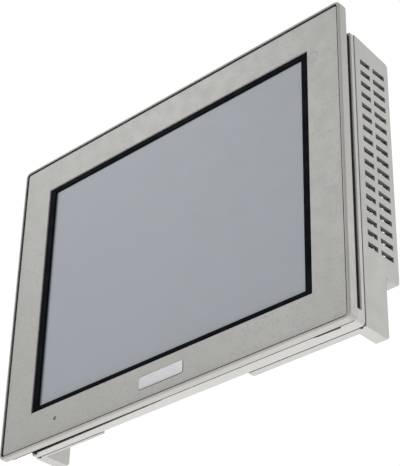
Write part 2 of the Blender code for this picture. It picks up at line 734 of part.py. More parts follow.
def make_mid_frame(look):
    """Light ring between chassis and rear cover, with a thin tongue under the chassis."""
    inner = grow(BODY_HALF, -MID_FRAME_BORDER)
    rings = [
        (grow(BODY_HALF, -MID_FRAME_EDGE), BODY_CORNER, MID_FRAME_Y),
        (BODY_HALF, BODY_CORNER, MID_FRAME_Y + MID_FRAME_EDGE),
        (BODY_HALF, BODY_CORNER, MID_FRAME_REAR_Y - MID_FRAME_EDGE),
        (grow(BODY_HALF, -MID_FRAME_EDGE), BODY_CORNER, MID_FRAME_REAR_Y),
        (inner, BODY_CORNER, MID_FRAME_REAR_Y),
        (inner, BODY_CORNER, MID_FRAME_Y),
    ]
    ring = part("mid_frame", stack(rings, closed=True), look, smooth=True)
    top = -BODY_HALF.y + SKIRT_THICKNESS
    add(ring, [prism("Z", tongue_outline(), -BODY_HALF.y, top)], "tongue")
    skirt_y = (MID_FRAME_Y - TONGUE_REACH, MID_FRAME_Y + MID_FRAME_DEPTH / 2)
    add(ring, [prism("Y", corner_skirt(), *skirt_y)], "skirt")
    return cut(ring, seam_notches())


def cover_profile():
    """Side outline (Y, Z) of the rear cover: sloping top, flat back, step, and lower part."""
    top_front = (COVER_Y, BODY_HALF.y)
    top_rear = (COVER_REAR_Y, BODY_HALF.y - COVER_TOP_DROP)
    step_rear = (COVER_REAR_Y, COVER_STEP_Z)
    step_front = (COVER_STEP_Y, COVER_STEP_Z)
    low_rear = (COVER_STEP_Y, -BODY_HALF.y)
    low_front = (COVER_Y, -BODY_HALF.y)
    outline = [low_front, top_front]
    outline += rounded_corner(top_front, top_rear, step_rear, COVER_CORNER)
    outline += rounded_corner(top_rear, step_rear, step_front, COVER_CORNER)
    outline += [step_front]
    outline += rounded_corner(step_front, low_rear, low_front, COVER_CORNER)
    return outline


def vent_rows():
    return [VENT_TOP_Z - VENT_PITCH * row for row in range(VENT_ROWS)]


def cover_vents():
    """Slots in both sides, the back's outer edges and the top."""
    through = 2 * COVER_WALL
    slots = []
    door_band = (HINGE_Z - 2 * HINGE_BARREL - VENT_HEIGHT, DOOR_TOP_Z + VENT_HEIGHT)
    for z in vent_rows():
        for side in (-1, 1):
            wall = sorted((side * (BODY_HALF.x - through), side * (BODY_HALF.x + through)))
            if side > 0 or not door_band[0] < z < door_band[1]:
                slots.append(block(wall, SIDE_VENT_FRONT, span(z, VENT_HEIGHT)))
                slots.append(block(wall, SIDE_VENT_REAR, span(z, VENT_HEIGHT)))
            edges = sorted(side * (BODY_HALF.x - inset) for inset in REAR_VENT_INSET)
            slots.append(block(edges, (COVER_REAR_Y - through, COVER_REAR_Y + through), span(z, VENT_HEIGHT)))
    length = span((COVER_Y + COVER_REAR_Y) / 2, TOP_VENT_LENGTH)
    for index in range(TOP_VENT_COUNT):
        width = span((index - (TOP_VENT_COUNT - 1) / 2) * TOP_VENT_PITCH, VENT_HEIGHT)
        slots.append(block(width, length, (BODY_HALF.y - 3 * through, BODY_HALF.y + through)))
    return slots


def cover_inside():
    """The hollow behind the boards, open at the front."""
    drop = COVER_TOP_DROP + COVER_WALL
    outline = [
        (COVER_Y - COVER_WALL, BAY_CEILING_TOP_Z),
        (COVER_Y - COVER_WALL, BODY_HALF.y - COVER_WALL),
        (COVER_INNER_REAR_Y, BODY_HALF.y - drop),
        (COVER_INNER_REAR_Y, BAY_CEILING_TOP_Z),
    ]
    return prism("X", outline, -COVER_INNER_HALF_X, COVER_INNER_HALF_X)


def cable_bay():
    """The space for the plugs, open below and behind, with a lip along its lower front edge."""
    beyond = COVER_REAR_Y
    lip_top = -BODY_HALF.y + BAY_LIP_HEIGHT
    below = -BODY_HALF.y - COVER_WALL
    left, right = BAY_MIDDLE
    upper = block((-BAY_HALF_X, BAY_HALF_X), (BAY_Y, beyond), (lip_top, COVER_STEP_Z))
    left_low = block((-BAY_HALF_X, left + MM), (COVER_Y + BAY_LEFT_LIP, beyond), (below, lip_top + GAP))
    right_low = block((right - MM, BAY_HALF_X), (COVER_Y + BAY_RIGHT_LIP, beyond), (below, lip_top + GAP))
    middle_top = -BODY_HALF.y + BAY_MIDDLE_RISE
    middle_low = block((left, right), (COVER_Y - COVER_WALL, beyond), (below, middle_top))
    middle_high = block((left, right), (BAY_Y, beyond), (middle_top - GAP, lip_top + GAP))
    return [[upper], [left_low, right_low], [middle_low], [middle_high]]


def seam_notches():
    """Small round notches where the seam under the body meets its two sides."""
    seam = (MID_FRAME_REAR_Y + COVER_Y) / 2
    places = [(side * (BODY_HALF.x - NOTCH_INSET), seam) for side in (-1, 1)]
    z = (-BODY_HALF.y - MM, -BODY_HALF.y + NOTCH_DEPTH)
    return [rod("Z", place, NOTCH_RADIUS, *z, ROUND_SMALL) for place in places]


def hook_slots():
    """Slots that the clamps hook into: two in the top and two behind the lower lips."""
    slots = []
    low = -BODY_HALF.y + COVER_WALL
    for side in (-1, 1):
        x = span(side * HOOK_X, HOOK_WIDTH)
        y = span(HOOK_TOP_Y, HOOK_TOP_LENGTH)
        slots.append(block(x, y, (BODY_HALF.y - 3 * COVER_WALL, BODY_HALF.y + COVER_WALL)))
        slots.append(block(x, (COVER_Y - COVER_WALL, COVER_STEP_Y), (low, low + HOOK_HEIGHT)))
    return slots


def door_opening():
    """Wall opening for the card door and its hinge barrel."""
    y = span(DOOR_Y, DOOR_WIDTH + 2 * GAP)
    x = (-BODY_HALF.x - COVER_WALL, -COVER_INNER_HALF_X + COVER_WALL)
    z = (HINGE_Z - HINGE_BARREL - 2 * GAP, DOOR_TOP_Z + GAP)
    return block(x, y, z)


def hinge_ends():
    """Y of the two ends of the hinge pin, which sits in bosses beside the door."""
    reach = DOOR_WIDTH / 2 + GAP + HINGE_BOSS
    return (DOOR_Y - reach, DOOR_Y + reach)


def hinge_bosses():
    near, far = hinge_ends()
    x = (-BODY_HALF.x + COVER_WALL / 2, -BODY_HALF.x + COVER_WALL + 0.75 * HINGE_BOSS)
    z = span(HINGE_Z, HINGE_BOSS_HEIGHT)
    inner = DOOR_WIDTH / 2 + GAP
    return [
        block(x, (near - HINGE_BOSS / 2, DOOR_Y - inner), z),
        block(x, (DOOR_Y + inner, far + HINGE_BOSS / 2), z),
    ]


def connector_holes():
    """Holes in the bay's ceiling, one for each connector's neck."""
    z = (COVER_STEP_Z - COVER_WALL, BAY_CEILING_TOP_Z + COVER_WALL)
    holes = []
    for x, y in connector_necks().values():
        holes.append(block((x[0] - GAP, x[1] + GAP), (y[0] - GAP, y[1] + GAP), z))
    return holes


def make_rear_cover(look):
    cover = part("rear_cover", prism("X", cover_profile(), -BODY_HALF.x, BODY_HALF.x), look)
    bevel = cover.modifiers.new("edges", "BEVEL")
    bevel.width = COVER_EDGE
    bevel.segments = 2
    bevel.limit_method = "ANGLE"
    bevel.angle_limit = math.radians(50)
    cut(cover, [cover_inside()], "inside")
    for index, solids in enumerate(cable_bay()):
        cut(cover, solids, f"bay_{index}")
    add(cover, hinge_bosses(), "bosses")
    hole_y = (COVER_INNER_REAR_Y - MM, COVER_REAR_Y + MM)
    hole = (SCREW_RADIUS + GAP, *hole_y, ROUND_SMALL)
    screw_holes = [rod("Y", place, *hole) for place in cover_screw_places()]
    cut(cover, cover_vents() + hook_slots() + connector_holes() + screw_holes, "vents")
    near, far = hinge_ends()
    pin_bore = rod("Y", (HINGE_X, HINGE_Z), HINGE_PIN + GAP, near - GAP, far + GAP, ROUND_SMALL)
    cut(cover, [door_opening()], "door")
    cut(cover, [pin_bore] + seam_notches(), "pin")
    return cover


# ---------------------------------------------------------------- inside


def make_boards(looks):
    x = (-MAIN_BOARD_HALF_WIDTH, MAIN_BOARD_HALF_WIDTH)
    slab = block(x, (MAIN_BOARD_Y, MAIN_BOARD_REAR_Y), (BOARD_FOOT_Z, MAIN_BOARD_TOP_Z))
    board = part("main_board", slab, looks["board"])
    hole = (STANDOFF_RADIUS + GAP, MAIN_BOARD_Y - MM, POWER_BOARD_Y, ROUND_SMALL)
    cut(board, [rod("Y", place, *hole) for place in cover_screw_places()])
    z = (BOARD_FOOT_Z, POWER_BOARD_TOP_Z)
    slab = block(POWER_BOARD_X, (POWER_BOARD_Y, POWER_BOARD_REAR_Y), z)
    part("power_board", slab, looks["board"])


def cover_screw_places():
    return [(side * COVER_SCREW_X, z) for z in COVER_SCREW_Z for side in (-1, 1)]


def make_posts_and_screws(looks):
    """Long posts from the chassis to the rear cover, and the screws that hold the cover."""
    names = ("lower_left", "lower_right", "upper_left", "upper_right")
    start = CHASSIS_REAR_Y + GAP
    end = COVER_INNER_REAR_Y - GAP
    bore_end = end - STANDOFF_BORE_DEPTH
    head = COVER_REAR_Y + GAP
    top = head + SCREW_HEAD_HEIGHT
    profile = [
        (SCREW_RADIUS, bore_end + GAP),
        (SCREW_RADIUS, head),
        (SCREW_HEAD_RADIUS, head),
        (SCREW_HEAD_RADIUS, head + SCREW_HEAD_HEIGHT * 0.6),
        (SCREW_HEAD_RADIUS * 0.7, top),
    ]
    for name, place in zip(names, cover_screw_places()):
        post = part(f"post_{name}", rod("Y", place, STANDOFF_RADIUS, start, end, 6), looks["steel"])
        cut(post, [rod("Y", place, SCREW_RADIUS + GAP, bore_end, end + MM, ROUND_SMALL)])
        screw = part(f"cover_screw_{name}", turned("Y", place, profile, 16), looks["steel"], smooth=True)
        cut(screw, [cross_recess(place, top)])


def cross_recess(centre, top):
    """Cross-shaped recess of a screw head."""
    corners = (
        Vector((CROSS_WIDTH / 2, -CROSS_WIDTH / 2)),
        Vector((CROSS_LENGTH / 2, -CROSS_WIDTH / 2)),
        Vector((CROSS_LENGTH / 2, CROSS_WIDTH / 2)),
    )
    outline = []
    for turn in range(4):
        quarter = Matrix.Rotation(turn * math.pi / 2, 2)
        outline += [tuple(Vector(centre) + quarter @ corner) for corner in corners]
    return prism("Y", outline, top - CROSS_DEPTH, top + MM)


def make_board_parts(looks):
    """Heat sink, battery, speaker, capacitors and transformer."""
    base = MAIN_BOARD_REAR_Y + GAP
    make_heat_sink(looks["aluminium"], base)
    holder_y = (base, base + BATTERY_FLOOR + BATTERY_THICKNESS + GAP)
    holder = rod("Y", BATTERY_CENTRE, BATTERY_RADIUS + BATTERY_RIM, *holder_y)
    holder = part("battery_holder", holder, looks["black_plastic"])
    cut(holder, [rod("Y", BATTERY_CENTRE, BATTERY_RADIUS + GAP, base + BATTERY_FLOOR, holder_y[1] + MM)])
    cell_y = base + BATTERY_FLOOR + GAP
    cell = rod("Y", BATTERY_CENTRE, BATTERY_RADIUS, cell_y, cell_y + BATTERY_THICKNESS)
    part("battery", cell, looks["steel"], smooth=True)

    mouth = COVER_INNER_REAR_Y - GAP
    profile = [
        (SPEAKER_RADIUS, mouth),
        (SPEAKER_RADIUS, mouth - 3 * MM),
        (SPEAKER_RADIUS * 0.65, mouth - 5 * MM),
        (SPEAKER_RADIUS * 0.45, mouth - 5 * MM),
        (SPEAKER_RADIUS * 0.45, mouth - 8 * MM),
    ]
    part("speaker", turned("Y", SPEAKER_CENTRE, profile), looks["black_plastic"], smooth=True)

    power_y = POWER_BOARD_REAR_Y + GAP
    core = block(TRANSFORMER_X, (power_y, power_y + TRANSFORMER_HEIGHT), TRANSFORMER_Z)
    part("transformer", core, looks["yellow_tape"])
    for index, x in enumerate(CAPACITOR_X):
        can = rod("Y", (x, CAPACITOR_Z), CAPACITOR_RADIUS, power_y, power_y + CAPACITOR_HEIGHT, 14)
        part(f"capacitor_{index + 1}", can, looks["black_plastic"], smooth=True)


def make_heat_sink(look, base):
    """Block with channels milled along its height."""
    middle_x, middle_z = HEAT_SINK_CENTRE
    z = span(middle_z, HEAT_SINK_SIDE)
    sink = part("heat_sink", block(span(middle_x, HEAT_SINK_SIDE), (base, base + HEAT_SINK_HEIGHT), z), look)
    channels = []
    for index in range(HEAT_SINK_CHANNELS):
        x = middle_x + (index - (HEAT_SINK_CHANNELS - 1) / 2) * HEAT_SINK_PITCH
        y = (base + HEAT_SINK_BASE, base + HEAT_SINK_HEIGHT + MM)
        channels.append(block(span(x, HEAT_SINK_CHANNEL), y, (z[0] - MM, z[1] + MM)))
    return cut(sink, channels)


# ---------------------------------------------------------------- connectors


def connector_necks():
    """X and Y spans of the necks that pass through the bay's ceiling, by name."""
    main_y = MAIN_BOARD_REAR_Y + GAP
    power_y = POWER_BOARD_REAR_Y + GAP
    necks = {}
    for index, x in enumerate(SERIAL_X):
        start = main_y + SERIAL_LIFT
        necks[f"serial_port_{index + 1}"] = (span(x, SERIAL_SHELL[0]), (start, start + SERIAL_SHELL[1]))
    for index, x in enumerate(USB_X):
        necks[f"usb_port_{index + 1}"] = (span(x, USB_SHELL[0]), (main_y, main_y + USB_SHELL[1]))
    necks["lan_port"] = (span(LAN_X, LAN_SHELL[0]), (main_y, main_y + LAN_SHELL[1]))
    necks["power_header"] = (span(POWER_X, POWER_HEADER[0]), (power_y, power_y + POWER_HEADER[1]))
    return necks


def make_serial_ports(looks):
    """D-shaped shells with a flange above the ceiling, and two hexagonal posts each."""
    flange_z = (BAY_CEILING_TOP_Z + GAP, BAY_CEILING_TOP_Z + GAP + SERIAL_FLANGE_THICKNESS)
    post_z = (COVER_STEP_Z - GAP - SERIAL_POST_LENGTH, COVER_STEP_Z - GAP)
    for number, middle in enumerate(SERIAL_X, start=1):
        x, y = connector_necks()[f"serial_port_{number}"]
        outline = [(x[0], y[1]), (x[0] + SERIAL_TAPER, y[0]), (x[1] - SERIAL_TAPER, y[0]), (x[1], y[1])]
        shell = prism("Z", outline, SOCKET_BOTTOM_Z - MM, SOCKET_TOP_Z)
        shell = part(f"serial_port_{number}", shell, looks["steel"])
        flange_y = (y[0] - SERIAL_TAPER / 2, y[1] + SERIAL_TAPER)
        add(shell, [block(span(middle, SERIAL_FLANGE_WIDTH), flange_y, flange_z)])
        for label, place in zip(("left", "right"), span(middle, SERIAL_POST_SPACING)):
            post = rod("Z", (place, sum(y) / 2), SERIAL_POST_RADIUS, *post_z, 6)
            part(f"serial_post_{number}_{label}", post, looks["steel"])


def make_usb_ports(looks):
    """Open shells with a tongue inside, mouths downwards."""
    bottom = SOCKET_BOTTOM_Z
    top = bottom + USB_DEPTH
    for number in (1, 2):
        x, y = connector_necks()[f"usb_port_{number}"]
        shell = part(f"usb_port_{number}", block(x, y, (bottom, SOCKET_TOP_Z)), looks["steel"])
        inner_x = (x[0] + USB_WALL, x[1] - USB_WALL)
        inner_y = (y[0] + USB_WALL, y[1] - USB_WALL)
        cut(shell, [block(inner_x, inner_y, (bottom - MM, top))], "mouth")
        tongue_x = (x[0] + 2 * USB_WALL, x[1] - 2 * USB_WALL)
        tongue_y = (inner_y[0] + USB_TONGUE[0], inner_y[0] + USB_TONGUE[1])
        add(shell, [block(tongue_x, tongue_y, (bottom + MM, top + MM))], "tongue")


def make_lan_port(looks):
    x, y = connector_necks()["lan_port"]
    bottom = SOCKET_BOTTOM_Z
    jack = part("lan_port", block(x, y, (bottom, SOCKET_TOP_Z)), looks["steel"])
    mouth_y = (y[0] + LAN_MOUTH_Y[0], y[0] + LAN_MOUTH_Y[1])
    clip_y = (y[0] + LAN_CLIP_Y[0], y[0] + LAN_CLIP_Y[1])
    mouth = block(span(LAN_X, LAN_MOUTH_WIDTH), mouth_y, (bottom - MM, bottom + LAN_MOUTH_DEPTH))
    clip = block(span(LAN_X, LAN_CLIP_WIDTH), clip_y, (bottom - MM, bottom + LAN_CLIP_DEPTH))
    cut(jack, [mouth], "mouth")
    cut(jack, [clip], "clip")


def terminal_places():
    return [POWER_X + POWER_PITCH * step for step in (-1, 0, 1)]


def make_power_connector(looks):
    """Header with three pins, and the plug that slides off them."""
    x, y = connector_necks()["power_header"]
    middle_y = sum(y) / 2
    bottom = COVER_STEP_Z - MM
    header = part("power_header", block(x, y, (bottom, SOCKET_TOP_Z)), looks["green_plastic"])
    pin_y = span(middle_y, POWER_PIN)
    pin_z = (bottom - POWER_PIN_LENGTH, bottom + MM)
    add(header, [block(span(place, POWER_PIN), pin_y, pin_z) for place in terminal_places()], "pins")

    top = bottom - GAP
    low = top - PLUG_LENGTH
    plug_y = (y[0] - PLUG_FRONT, y[1] + PLUG_REAR)
    plug = part("power_plug", block(x, plug_y, (low, top)), looks["green_plastic"], (POWER_X, middle_y, top))
    bore = POWER_PIN + 2 * GAP
    bore_z = (top - POWER_PIN_LENGTH - GAP, top + MM)
    mouth_z = (low - MM, low + WIRE_MOUTH_DEPTH)
    screw_z = low + TERMINAL_RISE
    screw_y = (plug_y[1] - TERMINAL_BORE_DEPTH, plug_y[1] + MM)
    cuts = []
    for place in terminal_places():
        cuts.append(block(span(place, bore), span(middle_y, bore), bore_z))
        cuts.append(block(span(place, WIRE_MOUTH), span(middle_y, WIRE_MOUTH), mouth_z))
        cuts.append(rod("Y", (place, screw_z), TERMINAL_RADIUS + GAP, *screw_y, 14))
    cut(plug, cuts)
    make_terminal_screws(looks["steel"], plug_y[1], screw_z)


def make_terminal_screws(look, plug_rear, screw_z):
    """Slotted screws that clamp the wires, sunk in the plug's rear face."""
    face = plug_rear - TERMINAL_SINK
    floor = plug_rear - TERMINAL_BORE_DEPTH + GAP
    slot_z = span(screw_z, TERMINAL_SLOT[0])
    for index, x in enumerate(terminal_places()):
        shank = rod("Y", (x, screw_z), TERMINAL_RADIUS, floor, face, 14)
        screw = part(f"terminal_screw_{index + 1}", shank, look, (x, plug_rear, screw_z), smooth=True)
        slot_x = span(x, 2 * TERMINAL_RADIUS + 2 * MM)
        cut(screw, [block(slot_x, (face - TERMINAL_SLOT[1], face + MM), slot_z)])


# ---------------------------------------------------------------- memory card


def card_socket_spans():
    """Outer X, Y and Z spans of the card socket, which stands on the main board's back."""
    x_low = -BODY_HALF.x + CARD_SOCKET_MOUTH
    y_low = MAIN_BOARD_REAR_Y + GAP
    z_middle = (HINGE_Z + DOOR_TOP_Z) / 2 - CARD_SOCKET_DROP
    half = CARD_SLOT_WIDTH / 2 + CARD_SOCKET_WALL
    return (
        (x_low, x_low + CARD_SLOT_DEPTH + CARD_SOCKET_BACK),
        (y_low, y_low + CARD_SLOT_HEIGHT + 2 * CARD_SOCKET_WALL),
        (z_middle - half, z_middle + half),
    )


def make_card_parts(looks):
    """Socket with its slot and button guide, eject button, hinge pin and door."""
    x, y, z = card_socket_spans()
    wall = CARD_SOCKET_WALL
    middle_y = sum(y) / 2
    socket = part("card_socket", block(x, y, z), looks["black_plastic"])
    guide_x = (x[0] + BUTTON_GUIDE[0], x[0] + BUTTON_GUIDE[1])
    add(socket, [block(guide_x, y, (z[1] - wall / 2, z[1] + BUTTON_GUIDE_HEIGHT))], "guide")
    slot_x = (x[0] - MM, x[0] + CARD_SLOT_DEPTH)
    cut(socket, [block(slot_x, (y[0] + wall, y[1] - wall), (z[0] + wall, z[1] - wall))], "slot")
    button_z = (z[1] + BUTTON_RISE, z[1] + BUTTON_RISE + BUTTON_SIDE[1])
    bore_z = (button_z[0] - GAP, button_z[1] + GAP)
    bore = block((guide_x[0] - MM, guide_x[1] + MM), span(middle_y, BUTTON_SIDE[0] + 2 * GAP), bore_z)
    cut(socket, [bore], "bore")

    front = x[0] - BUTTON_PROUD
    button = block((front, front + BUTTON_LENGTH), span(middle_y, BUTTON_SIDE[0]), button_z)
    part("eject_button", button, looks["black_plastic"], (front, middle_y, sum(button_z) / 2))

    place = (HINGE_X, HINGE_Z)
    pin = rod("Y", place, HINGE_PIN, *hinge_ends(), ROUND_SMALL)
    part("door_pin", pin, looks["steel"], smooth=True)
    make_card_door(looks["light_plastic"], place)


def make_card_door(look, place):
    """Flush door with a barrel along its lower edge and a finger recess near its top."""
    face = -BODY_HALF.x
    y = span(DOOR_Y, DOOR_WIDTH)
    slab = block((face, face + DOOR_THICKNESS), y, (HINGE_Z, DOOR_TOP_Z))
    door = part("card_door", slab, look, (HINGE_X, DOOR_Y, HINGE_Z))
    add(door, [rod("Y", place, HINGE_BARREL, y[0] + GAP, y[1] - GAP, 16)], "barrel")
    top = DOOR_TOP_Z - FINGER_DROP
    finger = block((face - MM, face + FINGER_DEPTH), span(DOOR_Y, FINGER_WIDTH), (top - FINGER_HEIGHT, top))
    bore = rod("Y", place, HINGE_PIN + GAP, y[0] - MM, y[1] + MM, ROUND_SMALL)
    cut(door, [finger, bore])


def make_looks():
    return {
        "light_plastic": material("light_plastic", (0.50, 0.49, 0.47), 0.5),
        "sheet": material("sheet", (0.44, 0.43, 0.41), 0.45),
        "screen": material("screen", (0.36, 0.39, 0.42), 0.35),
        "black_plastic": material("black_plastic", (0.012, 0.013, 0.016), 0.45),
        "plate": material("plate", (0.42, 0.43, 0.45), 0.3, 0.6),
        "lens": material("lens", (0.20, 0.20, 0.20), 0.2),
        "sensor": material("sensor", (0.40, 0.39, 0.38), 0.3),
        "glass": material("glass", (0.30, 0.34, 0.36), 0.1),
        "rubber": material("rubber", (0.015, 0.015, 0.015), 0.7),
        "white_plastic": material("white_plastic", (0.80, 0.80, 0.78), 0.4),
        "steel": material("steel", (0.60, 0.61, 0.62), 0.3, 0.9),
        "aluminium": material("aluminium", (0.70, 0.71, 0.72), 0.4, 0.9),
        "board": material("board", (0.03, 0.17, 0.07), 0.4),
        "green_plastic": material("green_plastic", (0.05, 0.30, 0.12), 0.45),
        "yellow_tape": material("yellow_tape", (0.75, 0.55, 0.08), 0.4),
    }


def main():
    clear_scene()
    looks = make_looks()
    make_bezel(looks["light_plastic"])
    make_face_sheet(looks["sheet"])
    make_name_plate(looks["plate"])
    make_status_light(looks["lens"])
    make_sensor_window(looks["sensor"])
    make_display_front(looks)
    make_display_module(looks)
    make_gasket(looks["rubber"])
    make_chassis(looks["black_plastic"])
    make_mid_frame(looks["light_plastic"])
    make_rear_cover(looks["light_plastic"])
    make_boards(looks)
    make_posts_and_screws(looks)
    make_board_parts(looks)
    make_serial_ports(looks)
    make_usb_ports(looks)
    make_lan_port(looks)
    make_power_connector(looks)
    make_card_parts(looks)


main()
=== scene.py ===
"""Visual model of a panel-mount touch panel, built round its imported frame.

The frame's X runs to the operator's right, Y towards the back and Z up, and its origin is the
centre of the cabinet's cut-out in the plane of the gasket. Every length is in metres.
"""
import json
import logging
import math
import random
from collections.abc import Iterable, Sequence
from dataclasses import dataclass
from enum import Enum

import bmesh
import bpy
from mathutils import Matrix, Vector

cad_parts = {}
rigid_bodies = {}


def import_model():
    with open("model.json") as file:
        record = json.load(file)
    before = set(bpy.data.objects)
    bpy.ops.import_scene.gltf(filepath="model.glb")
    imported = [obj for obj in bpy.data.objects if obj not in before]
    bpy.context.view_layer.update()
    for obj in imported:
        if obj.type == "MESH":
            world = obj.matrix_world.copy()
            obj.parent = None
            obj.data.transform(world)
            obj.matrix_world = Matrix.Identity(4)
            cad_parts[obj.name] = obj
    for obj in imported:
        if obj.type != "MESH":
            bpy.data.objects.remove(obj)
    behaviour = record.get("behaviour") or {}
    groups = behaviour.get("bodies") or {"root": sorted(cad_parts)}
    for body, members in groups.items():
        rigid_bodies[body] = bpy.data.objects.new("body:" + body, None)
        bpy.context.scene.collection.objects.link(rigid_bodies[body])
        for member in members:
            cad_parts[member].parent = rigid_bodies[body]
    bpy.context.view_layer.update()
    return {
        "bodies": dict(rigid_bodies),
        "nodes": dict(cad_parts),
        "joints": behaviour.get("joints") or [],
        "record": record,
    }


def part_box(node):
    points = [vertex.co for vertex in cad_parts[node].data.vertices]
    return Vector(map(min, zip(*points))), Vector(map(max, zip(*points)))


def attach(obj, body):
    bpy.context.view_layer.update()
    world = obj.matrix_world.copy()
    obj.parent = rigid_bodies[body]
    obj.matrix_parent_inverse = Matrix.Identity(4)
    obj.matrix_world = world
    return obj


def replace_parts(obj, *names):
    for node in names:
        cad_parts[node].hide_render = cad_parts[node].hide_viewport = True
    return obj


LOG = logging.getLogger("touch_panel")
MM = 0.001

Colour = tuple[float, float, float]
Ring = tuple[float, float, float, float]
Pair = tuple[float, float]
Socket = bpy.types.NodeSocket
Object = bpy.types.Object


class Axis(Enum):
    """The direction along which a solid is lofted."""

    X = "x"
    Y = "y"
    Z = "z"

    def place(self, a: float, b: float, along: float) -> Vector:
        """Place a point by its distances across and along the axis.

        Args:
            a: the first distance across.
            b: the second distance across.
            along: the distance along the axis.

        Returns:
            The point.
        """
        if self is Axis.X:
            return Vector((along, a, b))
        if self is Axis.Y:
            return Vector((a, along, b))
        return Vector((a, b, along))


class Body(Enum):
    """The rigid bodies that a piece can ride on."""

    HOUSING = "housing"
    BUTTON = "eject_button"
    PLUG = "power_plug"


# ---------------------------------------------------------------- finishes


class Shader:
    """A material's node tree, with short calls for the nodes that the finishes share."""

    def __init__(self, name: str) -> None:
        """Start a material.

        Args:
            name: the material's name.
        """
        self.material = bpy.data.materials.new(name)
        self.material.use_nodes = True
        self.tree = self.material.node_tree
        self.bsdf = self.tree.nodes["Principled BSDF"]
        self.place = self.tree.nodes.new("ShaderNodeTexCoord").outputs["Object"]

    def node(self, kind: str, values: dict[str, object] | None = None, **settings: object) -> bpy.types.Node:
        """Add a node.

        Args:
            kind: the node's type, without the ShaderNode prefix.
            values: socket name to a value, or to the socket that feeds it.
            settings: attributes of the node itself.

        Returns:
            The node.
        """
        made = self.tree.nodes.new(f"ShaderNode{kind}")
        for key, value in settings.items():
            setattr(made, key, value)
        for key, value in (values or {}).items():
            self.feed(made.inputs[key], value)
        return made

    def feed(self, socket: Socket, value: object) -> None:
        """Link a socket to value if that is a socket, or else set it.

        Args:
            socket: the input to feed.
            value: a socket or a plain value.
        """
        if isinstance(value, bpy.types.NodeSocket):
            self.tree.links.new(value, socket)
        else:
            socket.default_value = value

    def noise(self, size: float, detail: float = 3.0, stretch: Colour = (1.0, 1.0, 1.0)) -> Socket:
        """Smooth noise with features of about one size.

        Args:
            size: the features' size.
            detail: octaves of finer noise.
            stretch: how much longer the features are along X, Y and Z.

        Returns:
            The noise, from 0 to 1.
        """
        scale = tuple(1.0 / (size * longer) for longer in stretch)
        mapping = self.node("Mapping", {"Vector": self.place, "Scale": scale})
        noise = self.node("TexNoise", {"Vector": mapping.outputs[0], "Scale": 1.0, "Detail": detail})
        return noise.outputs[0]

    def ramp(self, value: Socket, low: float, high: float, start: float = 0.0, end: float = 1.0) -> Socket:
        """Turn a value smoothly into another range.

        Args:
            value: the value.
            low: where the range starts.
            high: where it ends.
            start: the result at low.
            end: the result at high.

        Returns:
            The result.
        """
        kind = {"interpolation_type": "SMOOTHSTEP"}
        limits = {"From Min": low, "From Max": high, "To Min": start, "To Max": end}
        return self.node("MapRange", {"Value": value, **limits}, **kind).outputs[0]

    def calc(self, operation: str, first: object, second: object) -> Socket:
        """Add one Math operation.

        Args:
            operation: the operation's name.
            first: a number or a socket.
            second: a number or a socket.

        Returns:
            The result.
        """
        made = self.node("Math", operation=operation)
        self.feed(made.inputs[0], first)
        self.feed(made.inputs[1], second)
        return made.outputs[0]

    def blend(self, share: object, first: object, second: object) -> Socket:
        """Mix two colours.

        Args:
            share: how much of the second, from 0 to 1.
            first: a colour or a socket.
            second: a colour or a socket.

        Returns:
            The mixed colour.
        """
        made = self.node("Mix", data_type="RGBA")
        colours = [(*c, 1.0) if isinstance(c, tuple) else c for c in (first, second)]
        for socket, value in zip((made.inputs[0], made.inputs[6], made.inputs[7]), (share, *colours)):
            self.feed(socket, value)
        return made.outputs[2]

    def edges(self, radius: float) -> Socket:
        """Find where the surface turns over an edge.

        Args:
            radius: how near the edge is.

        Returns:
            0 on a flat, 1 on an edge.
        """
        rounded = self.node("Bevel", {"Radius": radius}, samples=4).outputs[0]
        flat = self.node("NewGeometry").outputs["Normal"]
        dot = self.node("VectorMath", operation="DOT_PRODUCT")
        self.feed(dot.inputs[0], rounded)
        self.feed(dot.inputs[1], flat)
        return self.ramp(dot.outputs["Value"], 0.995, 0.90)

    def recesses(self, reach: float) -> Socket:
        """Find where other surfaces shut the light out.

        Args:
            reach: how near they are.

        Returns:
            0 in the open, 1 in a corner.
        """
        open_sky = self.node("AmbientOcclusion", {"Distance": reach}, samples=4).outputs["AO"]
        return self.ramp(open_sky, 0.80, 0.35)

    def bump(self, height: Socket, depth: float, under: Socket | None = None) -> Socket:
        """Add relief.

        Args:
            height: the height pattern.
            depth: its depth.
            under: another relief below it.

        Returns:
            The surface's normal.
        """
        values: dict[str, object] = {"Height": height, "Distance": depth, "Strength": 1.0}
        if under is not None:
            values["Normal"] = under
        return self.node("Bump", values).outputs[0]


def shaded(colour: Colour, share: float) -> Colour:
    """Colour with each channel multiplied by share, at most 1."""
    return tuple(min(1.0, channel * share) for channel in colour)


